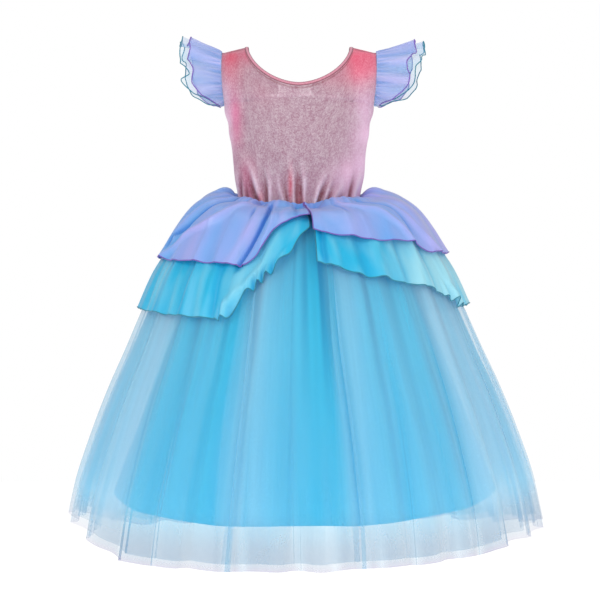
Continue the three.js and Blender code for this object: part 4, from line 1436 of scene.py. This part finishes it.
def ruffle_drop(side, word, kind, across, seed):
    """How long a ruffle hangs at each angle round the armhole."""
    shown = across * -side
    shown_trim = rule(RUFFLE_TRIM[f"{kind}_{word}"], "angle", "share")(shown)
    trim = np.where(shown > 0, shown_trim, 1.0)
    trim = trim + uneven("ruffle_hem", across, seed) * smooth(150, 110, np.abs(across))
    return RUFFLES[kind][word] * ruffle_length(np.abs(across)) * trim


def ruffle_points(side, word, kind, across, long, off):
    """Points at a length and a stand of cloth from the armhole's edge, flared out from the shoulder."""
    flare = RUFFLE_FLARE[word]
    height = ARMHOLE_MIDDLE + ARMHOLE_HALF_HEIGHT * cos(across)
    radial = long * sin(flare) + off * cos(flare)
    out = long * cos(flare) - off * sin(flare)
    root = bodice_half_width(height) + RUFFLE_ROOT_GAP + RUFFLES[kind]["stand"] * sin(flare)
    depth = side * (ARMHOLE_HALF_DEPTH + radial) * sin(across)
    return np.stack([side * (root + out), depth, height + radial * cos(across)], axis=-1)


def sleeve_sheet(name, side, word, kind, material, columns=300, rows=38):
    """One layer of an armhole's ruffle, gathered along its root, with the place of each point."""
    look = RUFFLES[kind]
    seed = look["seed"] + side
    across = np.linspace(-RUFFLE_REACH, RUFFLE_REACH, columns)[:, None]
    down = np.linspace(0, 1, rows)[None, :]
    long = ruffle_drop(side, word, kind, across, seed) * down
    share = long / look[word]
    phase = across / RUFFLE_REACH * RUFFLE_WAVES * np.pi
    wave = RUFFLE_WAVE_HEIGHT * share * np.sin(phase)
    gathers = uneven("ruffle_gathers", across + 4 * down, seed) * bell(down - 0.1, 0.4)
    flutter = uneven("ruffle_flutter", across, seed) * share**1.5
    off = look["stand"] + (look["spread"] - look["stand"]) * share + wave
    off = off + (gathers + flutter) * smooth(0, 0.08, down)
    points = ruffle_points(side, word, kind, across, long, off)
    soft = uneven("ruffle_tint", across + 12 * down, seed)
    # The second, lighter colour shows on the crests of the waves and gathers, partly as painted highlight,
    # and in soft patches.
    crest = 0.42 + 0.3 * np.sin(phase) * share + 0.22 * gathers + 0.3 * soft
    lower = mix(1, LOWER_OPACITY, smooth(62, 96, across * -side))
    opacity = SLEEVE_OPACITY[kind] * (1.1 - 0.25 * down + 0.4 * soft) * lower
    values = {"crest": np.clip(crest, 0, 1), "opacity": opacity}
    # Painted shade: darker near the root, between the gathers and in soft patches.
    shade = np.clip(0.35 * bell(down, 0.3) - 0.34 * gathers - 0.45 * soft, 0, MOST_SHADE)
    tint = mix(WHITE, SLEEVE_SHADE[kind], shade[..., None])
    return cloth_grid(name, points, material, values=values, tint=tint), points


for side, word in ((-1, "left"), (1, "right")):
    for kind, material, edge_material in (
        ("lilac", LILAC_SLEEVE, LILAC_EDGE),
        ("aqua", AQUA_SLEEVE, AQUA_EDGE),
    ):
        name = f"sleeve_{kind}_{word}"
        sheet, points = sleeve_sheet(f"{name}_organza", side, word, kind, material)
        edge = tube(f"{name}_edge", points[:, -1], EDGE_RADIUS, edge_material)
        flat = (RUFFLE_CUT, RUFFLES[kind][word] * MM)
        place(sheet, name, flat, edges=[edge], area=RUFFLE_TAPER * flat[0] * flat[1])


# Stage, light and camera

FLOOR_HEIGHT = -0.95
FLOOR_REACH = 4.0
# The floor gives some light of its own, so that it stays as pale as the surroundings.
FLOOR_PAINT = (0.95, 0.95, 0.95)
FLOOR_GLOW = 0.54
WORLD_LIGHT = 0.5
CAMERA_PLACE = (0.0013, -2.6, -0.3373)
LENS = 117.0
SENSOR = 36.0
DRESS_MIDDLE = Vector((0, 0, -0.35))
# The lights: where each stands, the sides of its square and its power.
LIGHTS = {
    "key": ((-1.4, -2.2, 1.1), 1.6, 23),
    "fill": ((1.8, -2.0, 0.2), 1.6, 15),
    "top": ((0, 0.3, 1.6), 1.8, 8),
}
CLEAR_LAYERS = 24


def floor():
    """A plain pale floor, well below the hem."""
    corners = np.array([(-1, -1), (1, -1), (1, 1), (-1, 1)]) * FLOOR_REACH / MM
    points = np.column_stack([corners, np.full(4, FLOOR_HEIGHT / MM)])
    shader = Shader("floor_paint")
    shader.set(Base_Color=FLOOR_PAINT, Roughness=0.9, Emission_Color=(1, 1, 1), Emission_Strength=FLOOR_GLOW)
    make_mesh("floor", points, np.array([[0, 1, 2, 3]]), shader.material)


def area_light(name, place_at, size, power):
    """A square light that faces the middle of the dress."""
    data = bpy.data.lights.new(name, "AREA")
    data.shape = "RECTANGLE"
    data.size, data.size_y = size, size
    data.energy = power
    thing = bpy.data.objects.new(name, data)
    bpy.context.scene.collection.objects.link(thing)
    thing.location = place_at
    thing.rotation_euler = (DRESS_MIDDLE - Vector(place_at)).to_track_quat("-Z", "Y").to_euler()


def studio_world():
    """Soft white surroundings: pure white to the camera, dimmer as light on the dress."""
    world = bpy.data.worlds.new("studio")
    world.use_nodes = True
    nodes, links = world.node_tree.nodes, world.node_tree.links
    background = nodes["Background"]
    background.inputs["Color"].default_value = (1, 1, 1, 1)
    path = nodes.new("ShaderNodeLightPath")
    strength = nodes.new("ShaderNodeMapRange")
    links.new(path.outputs["Is Camera Ray"], strength.inputs[0])
    strength.inputs[3].default_value = WORLD_LIGHT
    strength.inputs[4].default_value = 1.0
    links.new(strength.outputs[0], background.inputs["Strength"])
    bpy.context.scene.world = world


def camera():
    """The camera stands level, at the photo's angle."""
    data = bpy.data.cameras.new("camera")
    data.lens, data.sensor_width = LENS, SENSOR
    thing = bpy.data.objects.new("camera", data)
    bpy.context.scene.collection.objects.link(thing)
    thing.location = CAMERA_PLACE
    thing.rotation_euler = (math.pi / 2, 0, 0)
    bpy.context.scene.camera = thing


floor()
studio_world()
camera()
for name, (place_at, size, power) in LIGHTS.items():
    area_light(name, place_at, size, power)
scene = bpy.context.scene
scene.view_settings.view_transform = "Standard"
scene.cycles.transparent_max_bounces = CLEAR_LAYERS
